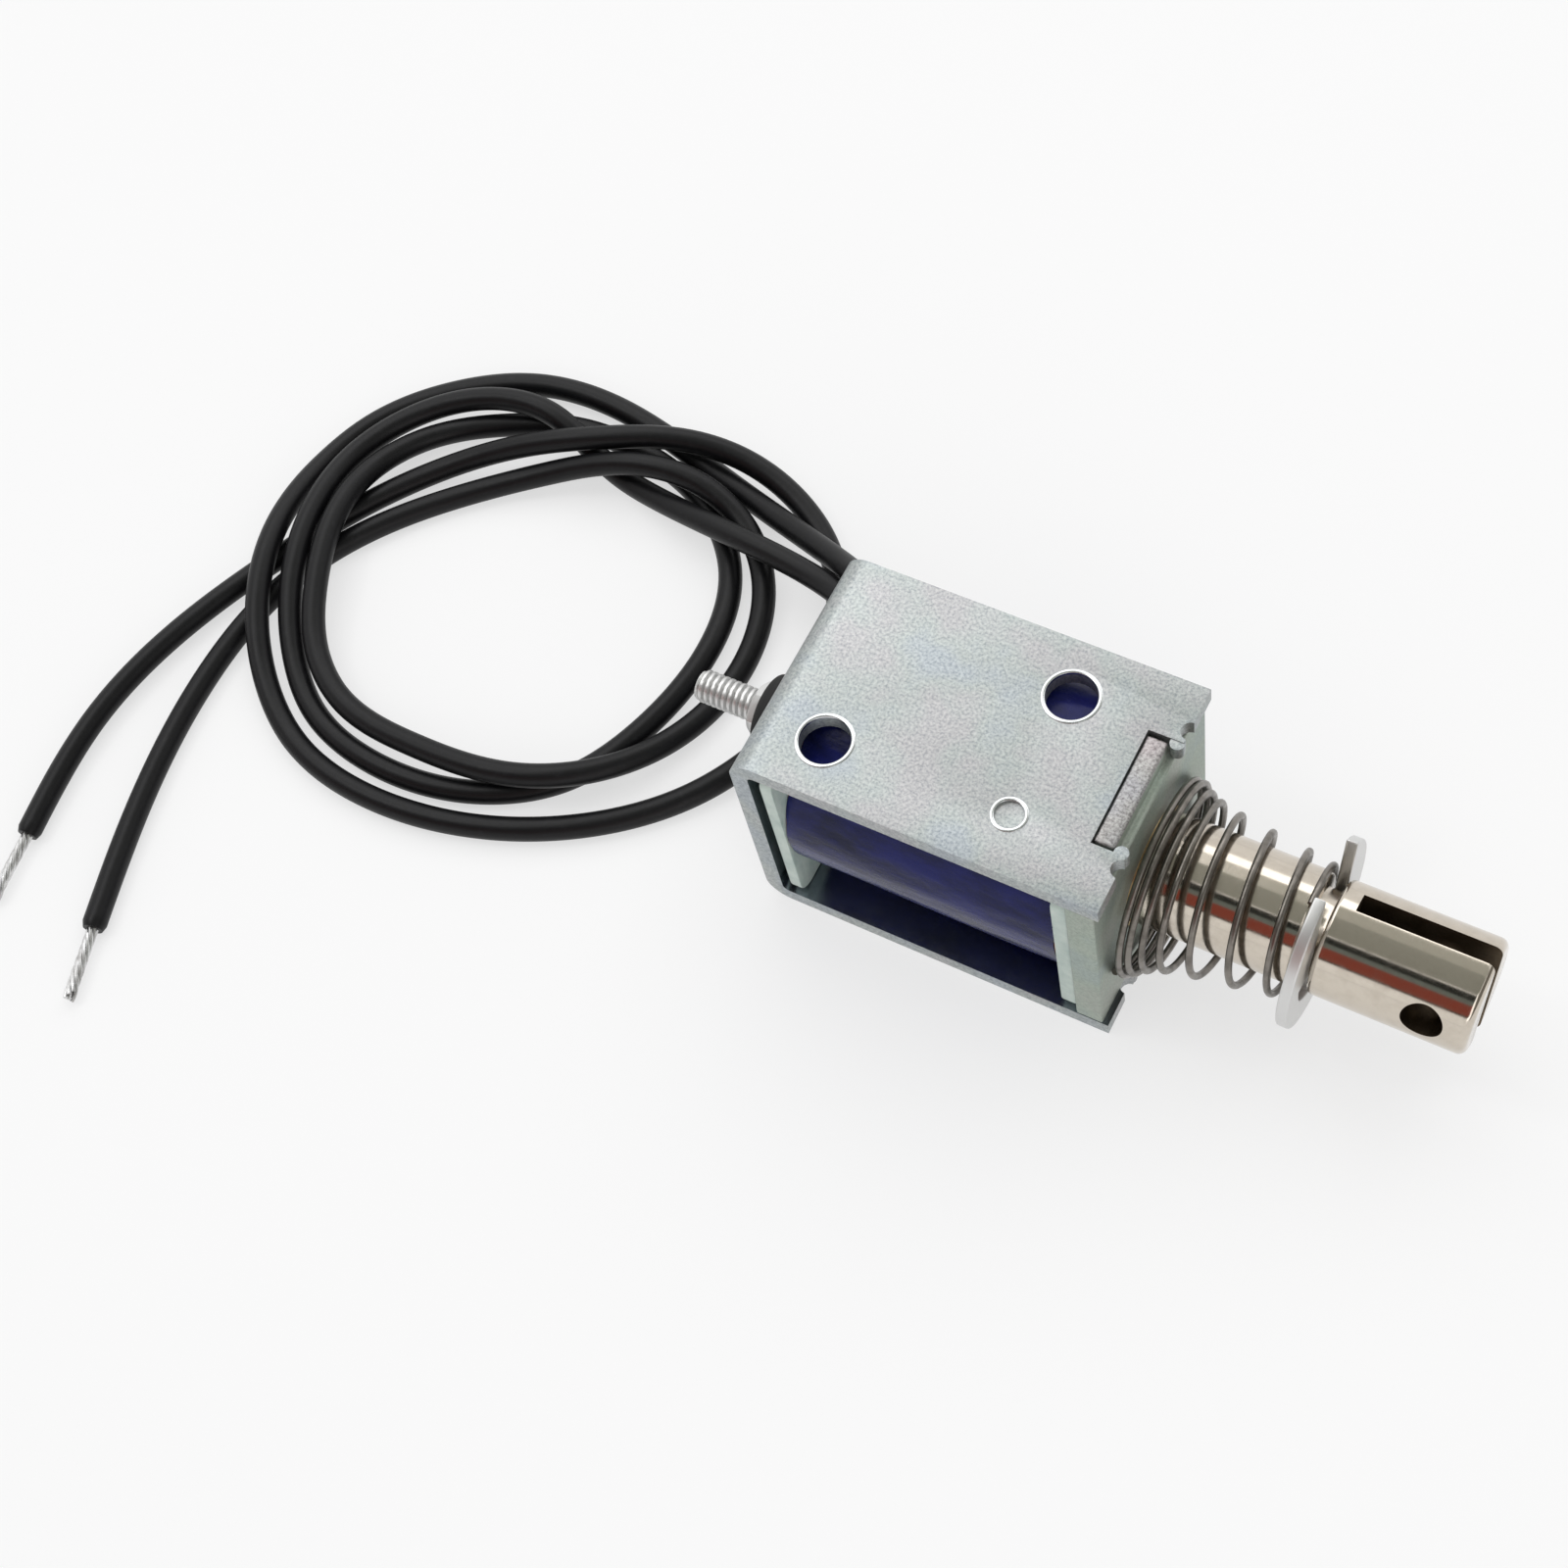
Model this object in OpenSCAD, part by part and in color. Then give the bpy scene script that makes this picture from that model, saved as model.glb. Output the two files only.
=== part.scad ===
// Push-pull solenoid: an open C-frame coil with a clevis plunger, a conical return spring,
// a threaded push rod at the rear and two loose connecting leads.
//
// +X runs along the plunger axis, out of the front. +Z is up, away from the lower mounting plate.
// The origin is the centre of the part's length, on the underside of the lower plate.

/* [Frame] */
// Length of the frame, from the rear wall's outer face to the front edges of its plates
frame_length = 40; // [39:0.5:42]
// Width of the frame across the plates
frame_width = 26; // [24:0.5:30]
// Height of the frame over both plates
frame_height = 30; // [28:0.5:34]
// Thickness of the frame's sheet steel
sheet = 2; // [1.6:0.1:2.4]
// Outer radius of the two bends
bend_radius = 2.8; // [2.6:0.1:4]
// Diameter of the mounting holes
mount_hole_d = 5.3; // [4.2:0.1:5.6]
// Distance from the rear wall's outer face to the first mounting hole
mount_hole_x = 8; // [7:0.5:9]
// Spacing of the two mounting holes along the frame
mount_pitch_x = 20; // [18:0.5:21]
// Spacing of the two mounting holes across the frame
mount_pitch_y = 14; // [12:0.5:15]
// Diameter of the shallow pressed mark beside the second hole
dimple_d = 3; // [2:0.1:3.4]
// Depth of the pressed mark
dimple_depth = 0.35; // [0.2:0.05:0.6]

/* [Pole plate] */
// Thickness of the front pole plate
pole_plate_t = 3; // [2.6:0.1:3.4]
// Setback of the pole plate's front face from the frame's front edge
pole_setback = 0.6; // [0.4:0.1:1]
// Width of each tab that is staked into the frame's plates
tab_width = 12.4; // [10:0.2:14]
// Play beside the tab in its notch
tab_play = 0.4; // [0.2:0.05:0.6]
// Diameter of one staked ear beside the notch
ear_d = 1.5; // [1.2:0.1:1.6]
// Diameter of the staking tool's bite outside each ear
bite_d = 2; // [1.6:0.1:2.4]

/* [Coil] */
// Play between the taped coil and the frame's opening
coil_play = 0.3; // [0.1:0.05:0.6]
// Thickness of the tape around the winding
tape_t = 0.3; // [0.2:0.05:0.5]
// Play between the bobbin's flanges and the frame's opening
flange_play = 0.2; // [0.05:0.05:0.4]
// Corner radius of the bobbin's flanges
flange_corner_r = 2; // [1:0.5:3]
// Thickness of the bobbin's front flange
front_flange_t = 1.7; // [1.4:0.1:2]
// Thickness of the bobbin's rear flange
rear_flange_t = 1.4; // [1:0.1:1.8]
// Thickness of the fibre washer behind the bobbin
fibre_washer_t = 1; // [0.6:0.1:1.4]
// Diameter of the fibre washer behind the bobbin
fibre_washer_d = 22; // [20:0.5:24]
// Wall of the bobbin's tube
bobbin_wall = 1; // [0.8:0.05:1.2]
// Wall of the brass guide sleeve
sleeve_wall = 0.5; // [0.4:0.05:0.6]
// Reach of the fixed core inside the frame
core_reach = 15; // [13:0.5:17]
// Diameter of the core's riveted spigot in the rear wall
spigot_d = 9; // [8:0.2:10]

/* [Plunger] */
// Diameter of the plunger
plunger_d = 12; // [11.6:0.1:12.2]
// Distance from the pole plate's front face to the plunger's front end, plunger out
plunger_out = 34.8; // [33:0.2:37]
// Travel of the plunger
stroke = 10; // [8:0.5:11]
// Radial running clearance of the plunger in its sleeve
plunger_clearance = 0.06; // [0.03:0.01:0.08]
// Chamfer of the plunger's front end
plunger_chamfer = 0.9; // [0.5:0.1:1.2]
// Distance from the plunger's front end back to the middle of the clip groove
groove_back = 16.9; // [16.5:0.1:17.5]
// Width of the clip groove
groove_w = 1.7; // [1.5:0.1:2]
// Diameter at the bottom of the clip groove
groove_d = 9; // [8.4:0.1:9.6]
// Width of the clevis slot
slot_w = 2.4; // [2:0.1:3]
// Depth of the clevis slot from the front end
slot_depth = 14; // [12:0.5:14.5]
// Diameter of the cross hole for the clevis pin
pin_hole_d = 4.2; // [3:0.1:4.5]
// Distance from the front end back to the cross hole
pin_hole_back = 4.6; // [4:0.1:6]
// Roll of the clevis slot about the plunger's axis, from upright
clevis_roll = -20; // [-60:1:60]

/* [E-clip] */
// Outer diameter of the E-clip
clip_d = 20; // [18:0.5:21]
// Thickness of the E-clip
clip_t = 1.2; // [1:0.05:1.4]
// Width of the clip's mouth
clip_mouth = 8.4; // [7.6:0.1:8.6]
// Roll of the clip's mouth about the plunger's axis, from straight up
clip_roll = -19; // [-90:1:90]

/* [Return spring] */
// Diameter of the spring wire
spring_wire_d = 0.8; // [0.6:0.05:0.9]
// Mean radius of the large end of the spring
spring_large_r = 10.4; // [9.5:0.1:11]
// Mean radius of the small end of the spring
spring_small_r = 6.7; // [6.7:0.05:7.2]
// Turns of the spring
spring_turns = 7.4; // [7.2:0.1:8]
// Sag of the large end below the plunger's axis
spring_sag = 1.2; // [0:0.1:1.4]

/* [Push rod] */
// Diameter of the push rod
rod_d = 4; // [3.5:0.1:4.2]
// Radial step down from the rod to its threaded tail
thread_step = 0.2; // [0.15:0.05:0.3]
// Reach of the push rod behind the frame, plunger out
rod_reach = 12.8; // [12:0.2:15]
// Width across the flats of the stop nut
nut_af = 5.2; // [5:0.1:7]
// Thickness of the thin stop nut
nut_t = 1.2; // [1:0.1:2.4]
// Diameter of the flat washer
flat_washer_d = 7.6; // [7:0.1:8.4]
// Thickness of the flat washer
flat_washer_t = 0.8; // [0.5:0.1:1]
// Diameter of the rubber stop washer
rubber_washer_d = 8.6; // [8:0.1:10]
// Thickness of the rubber stop washer
rubber_washer_t = 3.6; // [2.8:0.1:4]
// Thickness of the residual disc on the plunger's inner end
residual_t = 0.4; // [0.2:0.05:0.6]

/* [Leads] */
// Diameter of the leads over their insulation
lead_d = 2.8; // [2.4:0.1:2.8]
// Diameter of the leads' tinned ends
strand_d = 1.4; // [1:0.1:1.5]
// Length of the leads' tinned ends
strand_length = 9; // [5:0.5:12]

/* [Hidden] */
$fn = 64;

eps = 0.01;
over = 1;
fit = 0.05;
seat_gap = 0.25;
axis_z = frame_height / 2;
half_w = frame_width / 2;
pole_front = frame_length - pole_setback;
pole_back = pole_front - pole_plate_t;
reach_front = pole_front + plunger_out;
rear_x = (rod_reach - reach_front) / 2;
opening_height = frame_height - 2 * sheet;
coil_wide = frame_width - 2 * coil_play;
coil_high = opening_height - 2 * coil_play;

sleeve_bore_r = plunger_d / 2 + plunger_clearance;
sleeve_r = sleeve_bore_r + sleeve_wall;
tube_bore_r = sleeve_r + fit;
tube_r = tube_bore_r + bobbin_wall;
bobbin_rear = sheet + fibre_washer_t;
coil_rear = bobbin_rear + rear_flange_t;
coil_front = pole_back - front_flange_t;
core_end = sheet + core_reach;
sleeve_lap = 4;
sleeve_rear = core_end - sleeve_lap;
rod_play = 0.1;
rod_bore_r = rod_d / 2 + rod_play;
inner_end = core_end + residual_t + stroke + seat_gap;
groove_x = reach_front - groove_back;
clip_x = groove_x - groove_w / 2 + seat_gap;
chamfer = 0.5;

notch_w = tab_width + 2 * tab_play;
tab_rear_play = 0.1;
tab_setback = 0.8;
tab_front = pole_front - tab_setback;
tab_flush = 0.25;
ear_flush = 0.1;
ear_root = 0.2;
bite_overlap = 0.35;
bite_overrun = 0.1;

washer_front = -seat_gap;
rubber_front = washer_front - flat_washer_t;
nut_front = rubber_front - rubber_washer_t;
nut_rear = nut_front - nut_t;
rod_in_plunger = 9;
disc_inset = 1;
thread_chamfer = 0.5;
nut_chamfer = 0.35;
nut_crown = 0.45;
tooth_w = 3.4;
window_wall = 1;

// Places a piece that is drawn from the rear wall's outer face, around the plunger's axis.
module on_axis() {
    translate([rear_x, 0, axis_z]) children();
}

// Places a piece that is drawn from the rear wall's outer face, above the lower plate's underside.
module on_base() {
    translate([rear_x, 0, 0]) children();
}

// A round bar along +X from x0 to x1.
module bar(x0, x1, r) {
    translate([x0, 0, 0]) rotate([0, 90, 0]) cylinder(h = x1 - x0, r = r);
}

// A ring along +X from x0 to x1.
module ring(x0, x1, r_out, r_in) {
    difference() {
        bar(x0, x1, r_out);
        bar(x0 - over, x1 + over, r_in);
    }
}

// A bar along +X from x0 to x1 that fills the frame's opening as the coil does, round where that is
// square, and drawn in by inset.
module coil_bar(x0, x1, inset) {
    r = coil_high / 2 - inset;
    translate([x0, 0, 0]) scale([1, (coil_wide / 2 - inset) / r, 1])
        rotate([0, 90, 0]) cylinder(h = x1 - x0, r = r);
}

// A body of revolution about the X axis from a profile of [x, radius] points.
module turned(profile) {
    rotate([0, 90, 0]) rotate_extrude($fn = 96)
        polygon([for (p = profile) [p[1], p[0]]]);
}

// ---------------------------------------------------------------- frame

// Places what is drawn with the plate's outside at z = 0 on the upper plate.
module on_upper_plate() {
    translate([0, 0, frame_height]) mirror([0, 0, 1]) children();
}

// Repeats what is drawn on the lower plate on the upper plate.
module on_both_plates() {
    children();
    on_upper_plate() children();
}

// Side profile of the C-frame, bent round the rear.
module frame_profile() {
    inner_r = max(bend_radius - sheet, 0.4);
    difference() {
        hull() {
            translate([bend_radius, bend_radius]) circle(bend_radius);
            translate([bend_radius, frame_height - bend_radius]) circle(bend_radius);
            translate([frame_length - 1, 0]) square([1, frame_height]);
        }
        hull() {
            translate([sheet + inner_r, sheet + inner_r]) circle(inner_r);
            translate([sheet + inner_r, frame_height - sheet - inner_r]) circle(inner_r);
            translate([frame_length, sheet]) square([1, frame_height - 2 * sheet]);
        }
    }
}

// Mounting holes and pressed mark, with the plate's outside at z = 0.
module hole_cuts() {
    for (i = [0, 1])
        translate([mount_hole_x + i * mount_pitch_x, (i - 0.5) * mount_pitch_y, -over])
            cylinder(h = sheet + 2 * over, d = mount_hole_d);
    translate([mount_hole_x + mount_pitch_x, -mount_pitch_y / 2, -eps])
        cylinder(h = dimple_depth + eps, d = dimple_d);
}

// The notch for the pole plate's tab, and the staking tool's bites outside the two ears.
module notch_cuts() {
    translate([pole_back - tab_rear_play, -notch_w / 2, -over])
        cube([frame_length, notch_w, sheet + 2 * over]);
    bite_y = (notch_w + ear_d + bite_d) / 2 - bite_overlap;
    for (y = [-bite_y, bite_y])
        translate([frame_length + bite_overrun, y, -over]) cylinder(h = sheet + 2 * over, d = bite_d);
}

// The two ears that are staked in front of one tab, with the plate's outside at z = 0.
module ears() {
    for (side = [-1, 1])
        translate([tab_front + fit + ear_d / 2, side * (notch_w / 2 - ear_root), ear_flush])
            cylinder(h = sheet - 2 * ear_flush, d = ear_d);
}

module frame_bracket() {
    color("silver") on_base() {
        difference() {
            translate([0, half_w, 0]) rotate([90, 0, 0])
                linear_extrude(frame_width) frame_profile();
            on_upper_plate() hole_cuts();
            on_both_plates() notch_cuts();
            translate([0, 0, axis_z]) bar(-over, sheet + over, spigot_d / 2 + fit);
        }
        on_both_plates() ears();
    }
}

module pole_plate() {
    color("silver") on_base() difference() {
        union() {
            translate([pole_back, -half_w, sheet + fit])
                cube([pole_plate_t, frame_width, opening_height - 2 * fit]);
            translate([pole_back, -tab_width / 2, tab_flush])
                cube([tab_front - pole_back, tab_width, frame_height - 2 * tab_flush]);
        }
        translate([0, 0, axis_z]) bar(pole_back - over, pole_front + over, sleeve_r + fit);
    }
}

// ---------------------------------------------------------------- coil

module flange(x0, t) {
    inset = flange_play + flange_corner_r;
    y_in = frame_width / 2 - inset;
    z_in = opening_height / 2 - inset;
    translate([x0, 0, 0]) rotate([0, 90, 0]) linear_extrude(t)
        hull() for (y = [-y_in, y_in], z = [-z_in, z_in]) translate([z, y]) circle(flange_corner_r);
}

module bobbin() {
    color([0.82, 0.86, 0.83]) on_axis() difference() {
        union() {
            flange(bobbin_rear, rear_flange_t);
            flange(coil_front, front_flange_t);
            bar(bobbin_rear, pole_back, tube_r);
        }
        bar(bobbin_rear - over, pole_back + over, tube_bore_r);
    }
}

module coil_winding() {
    color([0.72, 0.42, 0.25]) on_axis() difference() {
        coil_bar(coil_rear, coil_front, tape_t);
        bar(coil_rear - over, coil_front + over, tube_r + fit);
    }
}

module tape_wrap() {
    color([0.1, 0.13, 0.36]) on_axis() difference() {
        coil_bar(coil_rear + fit, coil_front - fit, 0);
        coil_bar(coil_rear - over, coil_front + over, tape_t - eps);
    }
}

module fibre_washer() {
    color([0.2, 0.24, 0.23]) on_axis() ring(sheet, bobbin_rear, fibre_washer_d / 2, tube_bore_r);
}

module guide_sleeve() {
    color([0.8, 0.65, 0.35]) on_axis() ring(sleeve_rear, pole_front, sleeve_r, sleeve_bore_r);
}

module fixed_core() {
    color([0.6, 0.6, 0.62]) on_axis() difference() {
        union() {
            bar(0, sheet + eps, spigot_d / 2);
            bar(sheet, sleeve_rear - fit, sleeve_r);
            bar(sleeve_rear - 2 * fit, core_end, sleeve_bore_r - fit);
        }
        bar(-over, core_end + over, rod_bore_r);
    }
}

// ---------------------------------------------------------------- lead exits

// The leads lie side by side on the coil's back, under a pad of tape.
tape_under_leads = 0.4;
lead_y = (coil_wide + lead_d) / 2 + tape_under_leads;
lead_a_rise = 2;
lead_b_drop = 2.5;
lead_a_z = axis_z + lead_a_rise;
lead_b_z = axis_z - lead_b_drop;
pad_rear = 7.5;
pad_length = 12;
pad_cover = 1.2;
lead_hidden = 5.7;
joint_length = 4;
lead_exit_x = rear_x + pad_rear + lead_hidden;

// A hole or a bar along one lead's line, from pad_rear + a to pad_rear + b.
module lead_line(z, a, b, r) {
    translate([0, lead_y, z]) bar(pad_rear + a, pad_rear + b, r);
}

module lead_pad() {
    r = lead_d / 2;
    color([0.1, 0.13, 0.36]) on_base() difference() {
        hull() for (z = [lead_a_z, lead_b_z]) {
            lead_line(z, 0, pad_length, r + pad_cover);
            translate([pad_rear, coil_wide / 2 - tape_t - r, z - r]) cube([pad_length, r, lead_d]);
        }
        translate([0, 0, axis_z]) coil_bar(0, frame_length, -fit);
        for (z = [lead_a_z, lead_b_z]) {
            lead_line(z, -over, lead_hidden + fit, r + fit);
            lead_line(z, 0, lead_hidden + joint_length + fit, strand_d / 2 + fit);
        }
    }
}

module lead_joint(z) {
    color([0.75, 0.76, 0.78]) on_base()
        lead_line(z, lead_hidden + fit, lead_hidden + joint_length, strand_d / 2);
}

module lead_joint_a() { lead_joint(lead_a_z); }

module lead_joint_b() { lead_joint(lead_b_z); }

// ---------------------------------------------------------------- leads

// A tube of radius r with the given number of sides, swept along a list of points.
function unit(v) = v / norm(v);
function direction(p, i) = unit(p[min(i + 1, len(p) - 1)] - p[max(i - 1, 0)]);
function side_of(t) = unit(cross([0, 0, 1], t));
function tube_ring(p, i, r, sides) =
    let (t = direction(p, i), a = side_of(t), b = cross(t, a))
    [for (k = [0 : sides - 1]) let (q = 360 * k / sides) p[i] + r * (cos(q) * a + sin(q) * b)];
function tube_points(p, r, sides) = [for (i = [0 : len(p) - 1]) each tube_ring(p, i, r, sides)];
function tube_faces(n, sides) = concat(
    [[for (k = [0 : sides - 1]) sides - 1 - k]],
    [for (i = [0 : n - 2], k = [0 : sides - 1])
        let (a = i * sides + k, b = i * sides + (k + 1) % sides) [a, b, b + sides, a + sides]],
    [[for (k = [0 : sides - 1]) (n - 1) * sides + k]]);

module tube(p, r, sides) {
    polyhedron(tube_points(p, r, sides), tube_faces(len(p), sides), convexity = 20);
}

LEAD_SIDES = 8;

// Route of lead A: out of the coil, once round the loop, then off to the left.
LEAD_A = [
    [lead_exit_x, lead_y, lead_a_z], [-24, lead_y, lead_a_z], [-29, 16, 15.5], [-34.5, 20, 11],
    [-41.5, 24, 6.5], [-51.5, 28, 3], [-62, 31.5, 1.5], [-75, 34.5, 2], [-87, 34, 2],
    [-96.5, 29.5, 1.5], [-104, 21, 1.5], [-106, 14.5, 2], [-105, 2, 4.5], [-102.5, -5, 4.5],
    [-96.5, -14, 2.5], [-89, -19.5, 1.5], [-78, -22, 1.5], [-65, -20.5, 1.5], [-52.5, -15, 1.5],
    [-43.5, -7, 1.5], [-38, 3.5, 2], [-37, 11, 2], [-39.5, 20.5, 1.5], [-44, 27, 1.5],
    [-51, 31.5, 2.5], [-59, 33, 4], [-66.5, 31.5, 5.5], [-74.5, 28, 6], [-81.5, 25, 5],
    [-90.5, 20, 2.5], [-98, 12, 1.5], [-104.5, 0.5, 1.5], [-109.5, -12, 2], [-112.5, -26.5, 2],
    [-111.5, -42.5, 1.5]
];

// Route of lead B: out of the coil, twice round the loop, then off to the left.
LEAD_B = [
    [lead_exit_x, lead_y, lead_b_z], [-24, lead_y, lead_b_z], [-31, 16, 10.5], [-38.5, 19.5, 7.5],
    [-53, 22.5, 5.5], [-65.5, 25, 2.5], [-73.5, 27, 2], [-82, 29.5, 4.5], [-89.5, 29, 4.5],
    [-97.5, 24.5, 3.5], [-102, 17, 3.5], [-102.5, 8.5, 4.5], [-100.5, 0, 4.5], [-95, -10, 2.5],
    [-89.5, -15, 1.5], [-80.5, -18, 1.5], [-66, -16.5, 1.5], [-57.5, -11, 1.5], [-52.5, -2.5, 2],
    [-50.5, 11, 2], [-53, 19.5, 1.5], [-60.5, 27, 1.5], [-71, 30.5, 1.5], [-80, 30.5, 1.5],
    [-87.5, 28, 1.5], [-95.5, 22, 2.5], [-99, 15.5, 3.5], [-99.5, 9.5, 4.5], [-96.5, -1.5, 4.5],
    [-92, -9, 3.5], [-86.5, -13, 3], [-75, -15, 3.5], [-60.5, -13.5, 4.5], [-54.5, -10, 4],
    [-49, -3, 2.5], [-46, 9, 1.5], [-48, 18.5, 2], [-53.5, 25, 3], [-61, 27.5, 5],
    [-69.5, 26.5, 5.5], [-79, 23, 3], [-88.5, 16.5, 1.5], [-97, 7, 1.5], [-102, -3.5, 1.5],
    [-103.5, -15.5, 1.5], [-101.5, -33.5, 1.5], [-97.5, -49, 1.5]
];

// The bare, tinned end that carries on from the last point of a route.
module strand_end(route) {
    n = len(route);
    start = route[n - 1];
    along = unit(start - route[n - 2]);
    turn = atan2(along[1], along[0]);
    translate(start) rotate([0, 0, turn]) bar(0, strand_length, strand_d / 2);
}

module lead_wire_a() { color([0.11, 0.11, 0.12]) tube(LEAD_A, lead_d / 2, LEAD_SIDES); }

module lead_wire_b() { color([0.11, 0.11, 0.12]) tube(LEAD_B, lead_d / 2, LEAD_SIDES); }

module lead_end_a() { color([0.75, 0.76, 0.78]) strand_end(LEAD_A); }

module lead_end_b() { color([0.75, 0.76, 0.78]) strand_end(LEAD_B); }

// ---------------------------------------------------------------- spring

// The spring starts with nearly closed turns on the pole plate, opens out, and closes on the clip.
SPRING_SIDES = 6;
SPRING_STEPS = 18;
closed_turns = 2;
full_turns = 1.5;
taper_power = 0.85;
side_sag = 0.4;
closed_pitch = 1.06 * spring_wire_d;
spring_start_x = pole_front + spring_wire_d / 2 + fit;
spring_end_x = clip_x - spring_wire_d / 2 - fit;
spring_start_angle = 200;
open_length = spring_end_x - spring_start_x - closed_turns * closed_pitch;

// Share of the open length that is used up after a share u of the open turns.
function open_share(u) = 0.25 * u + 1.95 * u * u - 1.2 * u * u * u;
function spring_x(n) = n < closed_turns
    ? spring_start_x + n * closed_pitch
    : spring_start_x + closed_turns * closed_pitch
        + open_length * open_share((n - closed_turns) / (spring_turns - closed_turns));
function spring_share(n) = max(0, (n - full_turns) / (spring_turns - full_turns));
function spring_r(n) =
    spring_large_r - (spring_large_r - spring_small_r) * pow(spring_share(n), taper_power);
function spring_point(n) =
    let (a = spring_start_angle + 360 * n, sag = spring_sag * (1 - spring_share(n)))
    [spring_x(n), spring_r(n) * cos(a) - side_sag * sag, spring_r(n) * sin(a) - sag];

module return_spring() {
    steps = round(spring_turns * SPRING_STEPS);
    path = [for (i = [0 : steps]) spring_point(spring_turns * i / steps)];
    color([0.35, 0.34, 0.33]) on_axis() coil_tube(path, spring_wire_d / 2, SPRING_SIDES);
}

// A tube whose rings stay radial, for a path that winds round the X axis.
function coil_ring(p, i, r, sides) =
    let (t = direction(p, i), a = unit(cross(t, [1, 0, 0])), b = cross(t, a))
    [for (k = [0 : sides - 1]) let (q = 360 * k / sides) p[i] + r * (cos(q) * a + sin(q) * b)];

module coil_tube(p, r, sides) {
    points = [for (i = [0 : len(p) - 1]) each coil_ring(p, i, r, sides)];
    polyhedron(points, tube_faces(len(p), sides), convexity = 20);
}

// ---------------------------------------------------------------- moving parts

module plunger() {
    r = plunger_d / 2;
    g = groove_w / 2;
    color([0.78, 0.76, 0.73]) on_axis() difference() {
        turned([
            [inner_end, 0], [inner_end, r - chamfer], [inner_end + chamfer, r],
            [groove_x - g - chamfer, r], [groove_x - g, r - chamfer], [groove_x - g, groove_d / 2],
            [groove_x + g, groove_d / 2], [groove_x + g, r - chamfer], [groove_x + g + chamfer, r],
            [reach_front - plunger_chamfer, r], [reach_front, r - plunger_chamfer], [reach_front, 0]
        ]);
        bar(inner_end - over, inner_end + rod_in_plunger, rod_d / 2 + fit);
        rotate([clevis_roll, 0, 0]) {
            translate([reach_front - slot_depth, -slot_w / 2, -r - over])
                cube([slot_depth + over, slot_w, plunger_d + 2 * over]);
            translate([reach_front - pin_hole_back, r + over, 0])
                rotate([90, 0, 0]) cylinder(h = plunger_d + 2 * over, d = pin_hole_d);
        }
    }
}

module residual_disc() {
    color([0.85, 0.8, 0.6]) on_axis()
        ring(inner_end - residual_t, inner_end, plunger_d / 2 - disc_inset, rod_d / 2 + fit);
}

module push_rod() {
    r = rod_d / 2;
    tail_r = r - thread_step;
    rod_front = inner_end + rod_in_plunger - fit;
    color([0.72, 0.72, 0.72]) on_axis() turned([
        [-rod_reach, 0], [-rod_reach, tail_r - thread_chamfer], [-rod_reach + thread_chamfer, tail_r],
        [nut_rear, tail_r], [nut_rear, r], [rod_front, r], [rod_front, 0]
    ]);
}

module lock_nut() {
    color([0.75, 0.75, 0.75]) on_axis() difference() {
        intersection() {
            translate([nut_rear, 0, 0]) rotate([0, 90, 0])
                cylinder(h = nut_t, d = nut_af / cos(30), $fn = 6);
            turned([
                [nut_rear, 0], [nut_rear, nut_af / 2], [nut_rear + nut_chamfer, nut_af / 2 + nut_crown],
                [nut_front - nut_chamfer, nut_af / 2 + nut_crown], [nut_front, nut_af / 2], [nut_front, 0]
            ]);
        }
        bar(nut_rear - over, nut_front + over, rod_d / 2 + fit);
    }
}

module flat_washer() {
    color([0.62, 0.62, 0.6]) on_axis() ring(rubber_front, washer_front, flat_washer_d / 2, rod_bore_r);
}

module rubber_washer() {
    color([0.1, 0.1, 0.1]) on_axis() ring(nut_front, rubber_front, rubber_washer_d / 2, rod_bore_r);
}

// E-clip: a ring with a mouth, open windows between its three teeth, and rounded horns.
module clip_outline() {
    r = clip_d / 2;
    seat_r = groove_d / 2 + fit;
    window_r = plunger_d / 2 + window_wall;
    difference() {
        circle(r, $fn = 96);
        circle(seat_r);
        translate([-clip_mouth / 2, 0]) square([clip_mouth, r + over]);
        difference() {
            circle(window_r);
            for (a = [0, 90, -90]) rotate(a) translate([-tooth_w / 2, -r]) square([tooth_w, r]);
            translate([-r, 0]) square([2 * r, r]);
        }
    }
}

module e_clip() {
    color([0.7, 0.7, 0.68]) on_axis()
        translate([clip_x, 0, 0]) rotate([clip_roll, 0, 0]) rotate([90, 0, 90])
            linear_extrude(clip_t) clip_outline();
}

frame_bracket();
pole_plate();
bobbin();
coil_winding();
tape_wrap();
fibre_washer();
guide_sleeve();
fixed_core();
lead_pad();
lead_joint_a();
lead_joint_b();
lead_wire_a();
lead_wire_b();
lead_end_a();
lead_end_b();
return_spring();
plunger();
residual_disc();
push_rod();
lock_nut();
flat_washer();
rubber_washer();
e_clip();
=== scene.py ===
"""Push-pull solenoid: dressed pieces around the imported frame, with its camera, lamps and floor."""

import logging
import math
from collections.abc import Callable, Iterable, Mapping, Sequence
from dataclasses import dataclass
from enum import Enum

import bmesh
import bpy
import numpy as np
from mathutils import Matrix, Vector


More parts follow.
